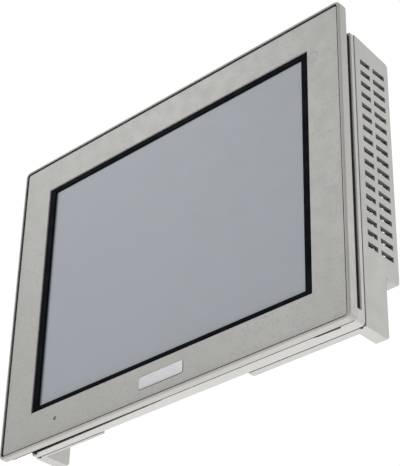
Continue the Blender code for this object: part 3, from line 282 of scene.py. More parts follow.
@dataclass(frozen=True)
class Finish:
    """A surface finish: its colour and how that varies, painted shade in its recesses, its grain, and its
    gloss.
    """

    name: str
    colour: Colour
    slot: str
    shade: float = 0.95
    patch: float = 60 * MM
    speckle: float = 0.25
    speckle_shade: float = 0.93
    grain: float = 0.5 * MM
    depth: float = 0.012 * MM
    stretch: Colour = (1.0, 1.0, 1.0)
    roughness: float = 0.5
    spread: float = 0.08
    metallic: float = 0.0
    coat: float = 0.0
    gloss: float = 0.5
    wear: float = 0.0
    wear_share: float = 1.12
    # painted shade: how strongly, over what reach, and to what share of the colour the corners and recesses
    # are darkened
    painted_shade: float = 0.25
    painted_shade_reach: float = 3 * MM
    painted_shade_share: float = 0.45
    soft_edge: float = 0.0

    def material(self) -> bpy.types.Material:
        """Make the finish's material.

        Returns:
            The material.
        """
        shader = Shader(self.name)
        colour = self.paint(shader)
        shader.feed(shader.bsdf.inputs["Base Color"], colour)
        self.roughen(shader)
        shader.bsdf.inputs["Metallic"].default_value = self.metallic
        shader.bsdf.inputs["Coat Weight"].default_value = self.coat
        shader.bsdf.inputs["Specular IOR Level"].default_value = self.gloss
        shader.material.diffuse_color = (*self.colour, 1.0)
        return shader.material

    def paint(self, shader: Shader) -> Socket:
        """Build the colour: broad patches, fine specks, worn edges, and painted shade that darkens the
        corners and recesses.

        Args:
            shader: the material's nodes.

        Returns:
            The colour.
        """
        patches = shader.ramp(shader.noise(self.patch, 3.0), 0.3, 0.7)
        colour = shader.blend(patches, shaded(self.colour, self.shade), self.colour)
        specks = shader.ramp(shader.noise(self.grain * 2.2, 2.0, self.stretch), 0.5, 0.72, 0.0, self.speckle)
        colour = shader.blend(specks, colour, shaded(self.colour, self.speckle_shade))
        if self.wear > 0:
            worn = shader.calc("MULTIPLY", shader.edges(0.5 * MM), self.wear)
            uneven = shader.calc("MULTIPLY", worn, shader.ramp(shader.noise(7 * MM, 4.0), 0.3, 0.6))
            colour = shader.blend(uneven, colour, shaded(self.colour, self.wear_share))
        # painted shade: the colour darkens where ambient occlusion finds nearby surfaces, in corners,
        # recesses and gaps
        if self.painted_shade > 0:
            painted_recess_shade = shader.calc("MULTIPLY", shader.recesses(self.painted_shade_reach), self.painted_shade)
            colour = shader.blend(painted_recess_shade, colour, shaded(self.colour, self.painted_shade_share))
        return colour

    def roughen(self, shader: Shader) -> None:
        """Build the gloss and the relief: broad smears, then the grain itself.

        Args:
            shader: the material's nodes.
        """
        smears = shader.noise(9 * MM, 4.0)
        low, high = self.roughness - self.spread, self.roughness + self.spread
        shader.feed(shader.bsdf.inputs["Roughness"], shader.ramp(smears, 0.3, 0.7, low, high))
        soft = None
        if self.soft_edge > 0:
            soft = shader.node("Bevel", {"Radius": self.soft_edge}, samples=4).outputs[0]
        broad = shader.bump(shader.noise(self.grain * 9, 2.0), self.depth * 2.0, soft)
        fine = shader.bump(shader.noise(self.grain, 3.0, self.stretch), self.depth, broad)
        shader.feed(shader.bsdf.inputs["Normal"], fine)


@dataclass(frozen=True)
class FilmFinish(Finish):
    """Anti-glare film over a dark display, with a painted shadow of the recess wall that darkens it towards
    its black border.
    """

    half: Pair = (105.6 * MM, 79.2 * MM)
    # painted shadow: the dark tone the film takes towards its edges, where the recess wall shades it
    border: Colour = (0.010, 0.014, 0.030)
    shade_fade: Pair = (3.4 * MM, 1.0 * MM)

    def paint(self, shader: Shader) -> Socket:
        """Build the colour: an even grey with a fine sparkle, and a painted shadow darkening its edges,
        widest on the left.

        Args:
            shader: the material's nodes.

        Returns:
            The colour.
        """
        x, _, z = shader.node("SeparateXYZ", {"Vector": shader.place}).outputs
        sides = (
            shader.calc("DIVIDE", shader.calc("ADD", x, self.half[0]), self.shade_fade[0]),
            shader.calc("DIVIDE", shader.calc("SUBTRACT", self.half[0], x), self.shade_fade[1]),
            shader.calc("DIVIDE", shader.calc("ADD", z, self.half[1]), self.shade_fade[1]),
            shader.calc("DIVIDE", shader.calc("SUBTRACT", self.half[1], z), self.shade_fade[1]),
        )
        nearest = shader.calc("MINIMUM", sides[0], sides[1])
        nearest = shader.calc("MINIMUM", nearest, shader.calc("MINIMUM", sides[2], sides[3]))
        # painted shadow: ramps from the dark edge tone at the border to the film's own grey inward
        inside = shader.ramp(nearest, 0.0, 1.0)
        return shader.blend(inside, self.border, super().paint(shader))


@dataclass(frozen=True)
class ShellFinish(Finish):
    """Moulded plastic whose inner faces are painted near-black, a painted shade over the housing's hollow.
    """

    # painted shade: the near-black colour given to every face inside the hollow, where the vents show only
    # shade
    hollow_shade: Colour = (0.020, 0.020, 0.022)
    inner_low: Colour = (-126.6 * MM, 17.4 * MM, -58.8 * MM)
    inner_high: Colour = (126.6 * MM, 45.9 * MM, 92.4 * MM)
    shade_fade: float = 0.35 * MM

    def paint(self, shader: Shader) -> Socket:
        """Build the colour: plastic outside, and a painted shade over the faces inside the housing's hollow.

        Args:
            shader: the material's nodes.

        Returns:
            The colour.
        """
        # painted shade: 1 inside the hollow's box, fading out over its edges
        inside: object = 1.0
        axes = shader.node("SeparateXYZ", {"Vector": shader.place}).outputs
        for value, low, high in zip(axes, self.inner_low, self.inner_high):
            above = shader.ramp(value, low - self.shade_fade, low + self.shade_fade)
            below = shader.ramp(value, high + self.shade_fade, high - self.shade_fade)
            inside = shader.calc("MULTIPLY", inside, shader.calc("MULTIPLY", above, below))
        return shader.blend(inside, super().paint(shader), self.hollow_shade)


@dataclass(frozen=True)
class BoardFinish(Finish):
    """Solder mask with copper tracks showing through, bright pads and print."""

    track: Colour = (0.06, 0.27, 0.10)
    pad: Colour = (0.62, 0.60, 0.52)

    def paint(self, shader: Shader) -> Socket:
        """Build the colour: mask, tracks in two directions, and a scatter of pads.

        Args:
            shader: the material's nodes.

        Returns:
            The colour.
        """
        colour = super().paint(shader)
        for stretch in ((14.0, 1.0, 1.0), (1.0, 1.0, 14.0)):
            lines = shader.noise(2.2 * MM, 0.0, stretch)
            near = shader.calc("ABSOLUTE", shader.calc("SUBTRACT", lines, 0.52), 0.0)
            colour = shader.blend(shader.ramp(near, 0.030, 0.015), colour, self.track)
        cells = shader.node("Mapping", {"Vector": shader.place, "Scale": (320.0, 1.0, 320.0)})
        dots = shader.node("TexVoronoi", {"Vector": cells.outputs[0], "Scale": 1.0})
        return shader.blend(shader.ramp(dots.outputs["Distance"], 0.20, 0.14), colour, self.pad)


LIGHT_GREY = (0.50, 0.495, 0.475)
FACE_GREY = (0.455, 0.450, 0.430)


class Look(Enum):
    """Every finish on the part."""

    HOUSING = ShellFinish(
        "moulded_light_grey",
        LIGHT_GREY,
        "light_plastic",
        wear=0.5,
        gloss=0.4,
        # painted shade: near-black darkening in the housing's recesses and vent slots
        painted_shade=0.95,
        painted_shade_reach=6 * MM,
        painted_shade_share=0.06,
        soft_edge=0.35 * MM,
    )
    FRAME = Finish(
        "moulded_frame",
        (0.53, 0.525, 0.51),
        "light_plastic",
        wear=0.8,
        wear_share=1.25,
        gloss=0.45,
        roughness=0.4,
        # painted shade: darkens the frame's step in the gap behind the bezel
        painted_shade=0.95,
        painted_shade_reach=4 * MM,
        painted_shade_share=0.05,
        soft_edge=0.3 * MM,
    )
    RIM = Finish(
        "moulded_rim",
        (0.455, 0.440, 0.415),
        "light_plastic",
        shade=0.95,
        roughness=0.38,
        wear=1.0,
        wear_share=1.35,
        soft_edge=0.2 * MM,
        # painted shade: darkening in the rim's corners and groove
        painted_shade=0.8,
        painted_shade_reach=1.5 * MM,
        painted_shade_share=0.15,
    )
    SHEET = Finish(
        "face_overlay",
        FACE_GREY,
        "sheet",
        shade=0.955,
        patch=45 * MM,
        speckle=0.9,
        speckle_shade=0.85,
        grain=0.8 * MM,
        depth=0.02 * MM,
        roughness=0.5,
        spread=0.05,
        # painted shade: a dark line along the overlay's edge by the rim
        painted_shade=0.6,
        painted_shade_reach=1.2 * MM,
        painted_shade_share=0.3,
    )
    FILM = FilmFinish(
        "display_film",
        (0.40, 0.424, 0.459),
        "screen",
        shade=0.985,
        patch=90 * MM,
        speckle=0.12,
        grain=0.25 * MM,
        depth=0.003 * MM,
        roughness=0.5,
        spread=0.03,
        gloss=0.12,
        painted_shade=0.0,
    )
    BLACK = Finish(
        "moulded_black",
        (0.007, 0.008, 0.012),
        "black_plastic",
        shade=0.8,
        roughness=0.6,
        gloss=0.06,
    )
    MASK = Finish(
        "printed_black",
        (0.0016, 0.0022, 0.0050),
        "black_plastic",
        depth=0.004 * MM,
        roughness=0.75,
        gloss=0.06,
        painted_shade=0.0,
    )
    RUBBER = Finish(
        "gasket_rubber",
        (0.010, 0.010, 0.012),
        "rubber",
        roughness=0.8,
        grain=0.9 * MM,
        depth=0.03 * MM,
        gloss=0.15,
    )
    PLATE = Finish(
        "satin_plate",
        (0.60, 0.61, 0.63),
        "plate",
        stretch=(24.0, 1.0, 1.0),
        grain=0.12 * MM,
        depth=0.004 * MM,
        roughness=0.36,
        metallic=0.35,
        wear=0.8,
        wear_share=1.3,
    )
    LENS = Finish(
        "clear_lens",
        (0.13, 0.13, 0.14),
        "lens",
        roughness=0.12,
        spread=0.04,
        coat=0.6,
        depth=0.002 * MM,
    )
    SENSOR = Finish(
        "sensor_tint",
        (0.405, 0.402, 0.392),
        "sensor",
        roughness=0.45,
        speckle=0.6,
        grain=0.7 * MM,
    )
    GLASS = Finish(
        "clear_glass",
        (0.30, 0.34, 0.36),
        "glass",
        roughness=0.08,
        spread=0.03,
        coat=0.5,
        depth=0.001 * MM,
    )
    WHITE = Finish("white_plastic", (0.78, 0.78, 0.76), "white_plastic", roughness=0.4)
    STEEL = Finish(
        "plated_steel",
        (0.60, 0.60, 0.59),
        "steel",
        stretch=(1.0, 1.0, 12.0),
        grain=0.15 * MM,
        depth=0.005 * MM,
        roughness=0.3,
        metallic=0.95,
        painted_shade=0.5,
    )
    GOLD = Finish("gold_contact", (0.78, 0.56, 0.24), "steel", grain=0.1 * MM, roughness=0.25, metallic=1.0)
    ALUMINIUM = Finish(
        "extruded_aluminium",
        (0.66, 0.67, 0.68),
        "aluminium",
        stretch=(1.0, 1.0, 20.0),
        grain=0.2 * MM,
        roughness=0.42,
        metallic=0.9,
    )
    BOARD = BoardFinish(
        "solder_mask",
        (0.022, 0.13, 0.05),
        "board",
        roughness=0.33,
        spread=0.1,
        depth=0.006 * MM,
    )
    GREEN = Finish("moulded_green", (0.04, 0.27, 0.11), "green_plastic", roughness=0.45, wear=0.3)
    TAPE = Finish("winding_tape", (0.72, 0.50, 0.07), "yellow_tape", stretch=(9.0, 1.0, 1.0), roughness=0.35)
    CHIP = Finish("chip_resin", (0.018, 0.018, 0.019), "black_plastic", roughness=0.6, grain=0.3 * MM)
    CERAMIC = Finish("ceramic_body", (0.42, 0.30, 0.17), "board", roughness=0.4)
    LABEL = Finish(
        "blank_label",
        (0.60, 0.61, 0.62),
        "plate",
        speckle=0.1,
        roughness=0.34,
        stretch=(1.0, 1.0, 6.0),
        metallic=0.25,
        depth=0.004 * MM,
    )


class Palette:
    """Makes each finish's material once and hands it out."""

    _made: dict[Look, bpy.types.Material] = {}

    @classmethod
    def get(cls, look: Look) -> bpy.types.Material:
        """The material of a finish."""
        if look not in cls._made:
            cls._made[look] = look.value.material()
        return cls._made[look]


# ---------------------------------------------------------------- meshes


def rounded_outline(half: Pair, corner: float, segments: int) -> list[Pair]:
    """Points round a rounded rectangle about the middle.

    Args:
        half: half its width and half its height.
        corner: the radius of its corners.
        segments: flats along each corner.

    Returns:
        The points, in order.
    """
    points = []
    for sign_a, sign_b, start in ((1, 1, 0), (-1, 1, 90), (-1, -1, 180), (1, -1, 270)):
        middle = (sign_a * (half[0] - corner), sign_b * (half[1] - corner))
        for step in range(segments + 1):
            angle = math.radians(start + 90 * step / segments)
            points.append((middle[0] + corner * math.cos(angle), middle[1] + corner * math.sin(angle)))
    return points


def flatten(obj: Object) -> None:
    """Keep large flats flat where they meet small rounded edges.

    Args:
        obj: the object whose normals are weighted.
    """
    normals = obj.modifiers.new("flat_normals", "WEIGHTED_NORMAL")
    normals.mode = "FACE_AREA"
    normals.weight = 100
    normals.keep_sharp = True


class Solid:
    """Collects lofted solids in one mesh and turns them into a dressed piece."""

    def __init__(self) -> None:
        """Start with an empty mesh."""
        self.mesh = bmesh.new()

    def loft(
        self,
        rings: Sequence[Ring],
        centre: Pair = (0.0, 0.0),
        axis: Axis = Axis.Y,
        segments: int = 6,
        closed: bool = False,
    ) -> "Solid":
        """Add a solid that runs through rounded rectangles.

        Args:
            rings: half sizes, corner radius and place along the axis, in order.
            centre: the rings' middle across the axis.
            axis: the direction of the loft.
            segments: flats along each corner.
            closed: whether the last ring joins the first, as in a frame.

        Returns:
            This solid, so that calls can be chained.
        """
        loops = []
        for half_a, half_b, corner, along in rings:
            outline = rounded_outline((half_a, half_b), corner, segments)
            corners = [axis.place(a + centre[0], b + centre[1], along) for a, b in outline]
            loops.append([self.mesh.verts.new(point) for point in corners])
        self.skin(loops, closed)
        return self

    def skin(self, loops: list[list[bmesh.types.BMVert]], closed: bool) -> None:
        """Join loops of vertices by faces, and cap the ends of an open one.

        Args:
            loops: the loops, in order and of one length.
            closed: whether the last loop joins the first.
        """
        pairs = list(zip(loops, loops[1:]))
        if closed:
            pairs.append((loops[-1], loops[0]))
        else:
            self.mesh.faces.new(loops[0])
            self.mesh.faces.new(loops[-1])
        count = len(loops[0])
        for first, second in pairs:
            for index in range(count):
                after = (index + 1) % count
                self.mesh.faces.new((first[index], first[after], second[after], second[index]))

    def pad(
        self,
        low: Colour,
        high: Colour,
        edge: float,
        axis: Axis = Axis.Y,
    ) -> "Solid":
        """Add a block with rounded corners and edges.

        Args:
            low: its lowest corner.
            high: its highest corner.
            edge: the radius of its edges.
            axis: the direction in which it is lofted.

        Returns:
            This solid.
        """
        across = {Axis.X: (1, 2, 0), Axis.Y: (0, 2, 1), Axis.Z: (0, 1, 2)}[axis]
        middle = [(low[i] + high[i]) / 2 for i in across]
        half = [(high[i] - low[i]) / 2 for i in across]
        rings = []
        for inset, along in ((edge, -1), (0.3 * edge, -1), (0.0, -1), (0.0, 1), (0.3 * edge, 1), (edge, 1)):
            rise = {edge: 0.0, 0.3 * edge: 0.3 * edge}.get(inset, edge)
            place = middle[2] + along * (half[2] - rise)
            rings.append((half[0] - inset, half[1] - inset, max(edge - inset, 0.2 * edge), place))
        return self.loft(rings, (middle[0], middle[1]), axis, segments=2)

    def disc(self, radii: Sequence[Pair], centre: Pair, axis: Axis = Axis.Y, sides: int = 8) -> "Solid":
        """Add a turned solid.

        Args:
            radii: radius and place along the axis, in order.
            centre: the axis's place across.
            axis: its direction.
            sides: flats in a quarter turn.

        Returns:
            This solid.
        """
        return self.loft([(r, r, r, along) for r, along in radii], centre, axis, sides)

    def piece(self, name: str, look: Look, body: Body = Body.HOUSING, crease: float = 38.0) -> Object:
        """Make the object, dress it, and let it ride on a body.

        Args:
            name: the piece's name.
            look: its finish.
            body: the body it moves with.
            crease: the angle, in degrees, above which an edge stays sharp.

        Returns:
            The object.
        """
        bmesh.ops.remove_doubles(self.mesh, verts=self.mesh.verts, dist=1e-7)
        bmesh.ops.recalc_face_normals(self.mesh, faces=self.mesh.faces)
        data = bpy.data.meshes.new(name)
        self.mesh.to_mesh(data)
        self.mesh.free()
        data.shade_smooth()
        data.set_sharp_from_angle(angle=math.radians(crease))
        data.materials.append(Palette.get(look))
        made = bpy.data.objects.new(name, data)
        bpy.context.scene.collection.objects.link(made)
        flatten(made)
        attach(made, body.value)
        return made


@dataclass
class Assembly:
    """A sub-assembly: the frame's own nodes that it dresses, and the pieces that it adds."""

    nodes: dict[str, Object]

    def dress(self, name: str, look: Look, edge: float = 0.0) -> Object:
        """Give one of the frame's nodes its finish and soft edges.

        Args:
            name: the node's name.
            look: its finish.
            edge: the radius of the rounding on its sharp edges, or 0 for none.

        Returns:
            The node's object.
        """
        node = self.nodes[name]
        node.data.materials.clear()
        node.data.materials.append(Palette.get(look))
        if "custom_normal" in node.data.attributes:
            node.data.attributes.remove(node.data.attributes["custom_normal"])
        node.data.shade_smooth()
        weld = node.modifiers.new("weld", "WELD")
        weld.merge_threshold = 1e-6
        if edge > 0:
            merge = node.modifiers.new("merge_flats", "DECIMATE")
            merge.decimate_type = "DISSOLVE"
            merge.angle_limit = math.radians(0.05)
            rounding = node.modifiers.new("round_edges", "BEVEL")
            rounding.width = edge
            rounding.segments = 2
            rounding.limit_method = "ANGLE"
            rounding.angle_limit = math.radians(50)
            rounding.use_clamp_overlap = False
        else:
            split = node.modifiers.new("split_edges", "EDGE_SPLIT")
            split.split_angle = math.radians(35)
        flatten(node)
        return node

    def dress_all(self, names: Iterable[str], look: Look, edge: float = 0.0) -> list[Object]:
        """Dress several nodes alike."""
        return [self.dress(name, look, edge) for name in names]

    def build(self) -> list[Object]:
        """Dress the nodes, add the pieces, and return them all."""
        raise NotImplementedError


# ---------------------------------------------------------------- front


@dataclass
class FrontFace(Assembly):
    """The bezel, the overlay in it, and the overlay's plate, light and sensor."""

    sheet_edge: float = 0.12 * MM
    plate_frame: float = 0.55 * MM
    plate_proud: float = 0.22 * MM
    plate_corner: float = 1.2 * MM
    # painted shadow: the groove bead's offset, width and height
    shadow_bead_size: Colour = (0.2 * MM, 0.62 * MM, 0.26 * MM)
    ring_radii: Pair = (3.68 * MM, 4.02 * MM)
    ring_sink: float = 0.04 * MM

    def build(self) -> list[Object]:
        """Dress the front's nodes and add the plate's and the sensor's details.

        Returns:
            The objects, nodes first.
        """
        made = [
            self.dress("bezel", Look.RIM),
            self.dress("face_sheet", Look.SHEET, self.sheet_edge),
            self.dress("sensor_window", Look.SENSOR, self.sheet_edge),
            self.dress("status_light", Look.LENS),
        ]
        made += [self.plate(), self.plate_field(), self.groove_shadow_bead()]
        return [*made, self.sensor_ring(), self.light_cap()]

    def plate(self) -> Object:
        """Make the blank plate: a low frame with rounded corners round a sunk field.

        Returns:
            The plate, which stands for the frame's own.
        """
        low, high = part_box("name_plate")
        middle = (low + high) / 2
        half = ((high.x - low.x) / 2, (high.z - low.z) / 2)
        face = low.y - self.plate_proud * 0.4
        corner, frame = self.plate_corner, self.plate_frame
        rings = [
            (half[0], half[1], corner, high.y),
            (half[0], half[1], corner, face + 0.12 * MM),
            (half[0] - 0.04 * MM, half[1] - 0.04 * MM, corner, face + 0.04 * MM),
            (half[0] - 0.12 * MM, half[1] - 0.12 * MM, corner - 0.1 * MM, face),
            (half[0] - frame, half[1] - frame, corner - frame, face),
            (half[0] - frame - 0.08 * MM, half[1] - frame - 0.08 * MM, corner - frame, face + 0.1 * MM),
        ]
        made = Solid().loft(rings, (middle.x, middle.z)).piece("plate_frame", Look.PLATE, crease=30)
        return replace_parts(made, "name_plate")

    def plate_field(self) -> Object:
        """Make the plate's plain inner field, a hair below its frame.

        Returns:
            The field.
        """
        low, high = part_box("name_plate")
        middle = (low + high) / 2
        inset = self.plate_frame + 0.25 * MM
        half = ((high.x - low.x) / 2 - inset, (high.z - low.z) / 2 - inset)
        face = low.y - self.plate_proud * 0.4
        rings = [
            (*half, 0.5 * MM, face + 0.3 * MM),
            (*half, 0.5 * MM, face + 0.05 * MM),
            (half[0] - 0.1 * MM, half[1] - 0.1 * MM, 0.45 * MM, face + 0.02 * MM),
        ]
        return Solid().loft(rings, (middle.x, middle.z)).piece("plate_field", Look.LABEL, crease=30)

    def groove_shadow_bead(self) -> Object:
        """Make the thin dark bead in the groove between the overlay and the rim: a dark piece that stands
        for the shadow in that groove.

        Returns:
            The bead.
        """
        low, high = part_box("face_sheet")
        # painted shadow: a near-black bead standing proud in the groove, where the rim shades it
        half = (high.x + self.shadow_bead_size[0], high.z + self.shadow_bead_size[0])
        top = low.y - self.shadow_bead_size[2]
        width, corner = self.shadow_bead_size[1], 2.2 * MM
        rings = [
            (*half, corner, low.y + 0.5 * MM),
            (*half, corner, top + 0.08 * MM),
            (half[0] - 0.08 * MM, half[1] - 0.08 * MM, corner, top),
            (half[0] - width + 0.08 * MM, half[1] - width + 0.08 * MM, corner - width, top),
            (half[0] - width, half[1] - width, corner - width, top + 0.08 * MM),
            (half[0] - width, half[1] - width, corner - width, low.y + 0.5 * MM),
        ]
        return Solid().loft(rings, segments=8, closed=True).piece("groove_shadow_bead", Look.RUBBER)

    def sensor_ring(self) -> Object:
        """Make the flush ring that seats the sensor's window in the overlay.

        Returns:
            The ring.
        """
        low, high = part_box("sensor_window")
        middle = (low + high) / 2
        inner, outer = self.ring_radii
        top = low.y + self.ring_sink
        profile = [(outer, top + 0.6 * MM), (outer, top), (inner, top), (inner, top + 0.6 * MM)]
        rings = [(r, r, r, along) for r, along in profile]
        made = Solid().loft(rings, (middle.x, middle.z), segments=12, closed=True)
        return made.piece("sensor_ring", Look.SENSOR)

    def light_cap(self) -> Object:
        """Make the light's small domed cap.

        Returns:
            The cap.
        """
        low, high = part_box("status_light")
        middle = (low + high) / 2
        radius = (high.x - low.x) / 2
        steps = [(radius * share, low.y + 0.25 * MM - rise) for share, rise in self.dome(radius)]
        profile = [(radius * 0.98, low.y + 0.5 * MM), *steps]
        return Solid().disc(profile, (middle.x, middle.z)).piece("status_cap", Look.LENS)

    def dome(self, radius: float) -> list[Pair]:
        """Shares of the radius, with the rise at each, over a shallow dome."""
        angles = [math.radians(a) for a in (0, 20, 40, 60, 75, 85)]
        return [(0.98 * math.cos(a), 0.45 * radius * math.sin(a)) for a in angles]


@dataclass
class Screen(Assembly):
    """The film, the black border and the display behind them."""

    edge: float = 0.1 * MM

    def build(self) -> list[Object]:
        """Dress the display's layers from front to back.

        Returns:
            The objects.
        """
        made = [self.dress("touch_film", Look.FILM), self.dress("display_mask", Look.MASK, self.edge)]
        made += self.dress_all(("touch_glass", "display_glass"), Look.GLASS)
        made += [self.dress("display_seal", Look.RUBBER, self.edge)]
        white = ("diffuser_sheet", "light_guide", "backlight_lamp_lower", "backlight_lamp_upper")
        made += self.dress_all(white, Look.WHITE)
        return made + self.dress_all(("display_frame", "display_tray"), Look.STEEL, self.edge)


# ---------------------------------------------------------------- housing


@dataclass
class Housing(Assembly):
    """The gasket, the black chassis, and the light shells behind it."""

    label_size: Pair = (86.0 * MM, 44.0 * MM)
    label_place: Pair = (-8.0 * MM, 22.0 * MM)
    label_thickness: float = 0.16 * MM
    field_gap: float = 3.0 * MM
    panel_half: Pair = (86.0 * MM, 56.0 * MM)
    panel_middle: Pair = (0.0, 18.0 * MM)
    bead: Pair = (0.9 * MM, 0.35 * MM)
    bead_corner: float = 6 * MM
    bead_profile: tuple[Pair, ...] = (
        (0, -0.1),
        (0, 0.4),
        (0.2, 0.8),
        (0.45, 1),
        (0.55, 1),
        (0.8, 0.8),
        (1, 0.4),
        (1, -0.1),
    )
    gate_radius: float = 2.6 * MM
    gates: tuple[Pair, ...] = ((-70.0, 60.0), (70.0, 60.0), (-70.0, -24.0), (70.0, -24.0))
    washer_radii: Pair = (4.1 * MM, 1.9 * MM)

    def build(self) -> list[Object]:
        """Dress the shells and add what stands on them.

        Returns:
            The objects, nodes first.
        """
        made = [
            self.dress("panel_gasket", Look.RUBBER, 0.3 * MM),
            self.dress("chassis", Look.BLACK, 0.25 * MM),
            self.dress("mid_frame", Look.FRAME),
            self.dress("rear_cover", Look.HOUSING),
        ]
        corners = [f"{row}_{side}" for row in ("upper", "lower") for side in ("left", "right")]
        made += self.dress_all([f"cover_screw_{c}" for c in corners], Look.STEEL, 0.1 * MM)
        made += self.dress_all([f"post_{c}" for c in corners], Look.STEEL, 0.1 * MM)
        made += [self.label(), self.label_fields(), self.back_bead(), self.gate_marks()]
        return [*made, *(self.washer(f"cover_screw_{c}") for c in corners)]

    def label(self) -> Object:
        """Make the blank rating label on the back, with rounded corners and a soft edge.

        Returns:
            The label.
        """
        half = (self.label_size[0] / 2, self.label_size[1] / 2)
        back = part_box("rear_cover")[1].y
        top = back + self.label_thickness
        rings = [(*half, 2 * MM, back - 0.05 * MM), (*half, 2 * MM, top - 0.05 * MM)]
        rings.append((half[0] - 0.05 * MM, half[1] - 0.05 * MM, 1.95 * MM, top))
        return Solid().loft(rings, self.label_place).piece("rating_label", Look.LABEL, crease=30)

    def label_fields(self) -> Object:
        """Make the label's empty boxes: two columns of low plain frames.

        Returns:
            The boxes.
        """
        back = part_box("rear_cover")[1].y + self.label_thickness
        solid = Solid()
        width, height = self.label_size
        middle_x, middle_z = self.label_place
        for column, share in enumerate((0.58, 0.30)):
            centre_x = middle_x + (-0.17 if column == 0 else 0.31) * width
            for row in range(3):
                half = (share * width / 2, (height / 3 - self.field_gap) / 2)
                centre = (centre_x, middle_z + (1 - row) * (height / 3 - 0.6 * MM))
                inner = (half[0] - 0.35 * MM, half[1] - 0.35 * MM)
                rings = [(*half, 0.8 * MM, back - 0.02 * MM), (*half, 0.8 * MM, back + 0.04 * MM)]
                rings += [(*inner, 0.5 * MM, back + 0.04 * MM), (*inner, 0.5 * MM, back - 0.02 * MM)]
                solid.loft(rings, centre, segments=3, closed=True)
        return solid.piece("label_boxes", Look.CHIP)

    def back_bead(self) -> Object:
        """Make the low moulded bead that frames the flat of the back.

        Returns:
            The bead.
        """
        width, height = self.bead
        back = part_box("rear_cover")[1].y
        half = self.panel_half
        rings = []
        for inset, rise in self.bead_profile:
            across = (half[0] - inset * width, half[1] - inset * width)
            rings.append((*across, self.bead_corner - inset * width, back + rise * height))
        made = Solid().loft(rings, self.panel_middle, segments=8, closed=True)
        return made.piece("back_bead", Look.HOUSING)

    def gate_marks(self) -> Object:
        """Make the shallow round gate marks that moulding leaves on the back.

        Returns:
            The marks.
        """
        solid = Solid()
        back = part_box("rear_cover")[1].y
        r = self.gate_radius
        for x, z in self.gates:
            profile = [(r, back - 0.1 * MM), (r, back + 0.06 * MM), (r - 0.2 * MM, back + 0.14 * MM)]
            profile += [(r - 0.6 * MM, back + 0.14 * MM), (r - 0.8 * MM, back + 0.05 * MM)]
            profile += [(0.5 * MM, back + 0.05 * MM), (0.3 * MM, back + 0.18 * MM)]
            solid.disc(profile, (x * MM, z * MM), sides=8)
        return solid.piece("gate_marks", Look.HOUSING)

    def washer(self, screw: str) -> Object:
        """Make the washer under a cover screw's head.

        Args:
            screw: the screw's node.

        Returns:
            The washer.
        """
        low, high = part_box(screw)
        middle = (low + high) / 2
        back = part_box("rear_cover")[1].y
        outer, inner = self.washer_radii
        profile = [(outer, back + 0.02 * MM), (outer, back + 0.22 * MM), (outer - 0.1 * MM, back + 0.3 * MM)]
        profile += [(inner, back + 0.3 * MM), (inner, back + 0.02 * MM)]
        rings = [(r, r, r, along) for r, along in profile]
        made = Solid().loft(rings, (middle.x, middle.z), segments=8, closed=True)
        return made.piece(screw.replace("cover_screw", "washer"), Look.STEEL)


# ---------------------------------------------------------------- connectors


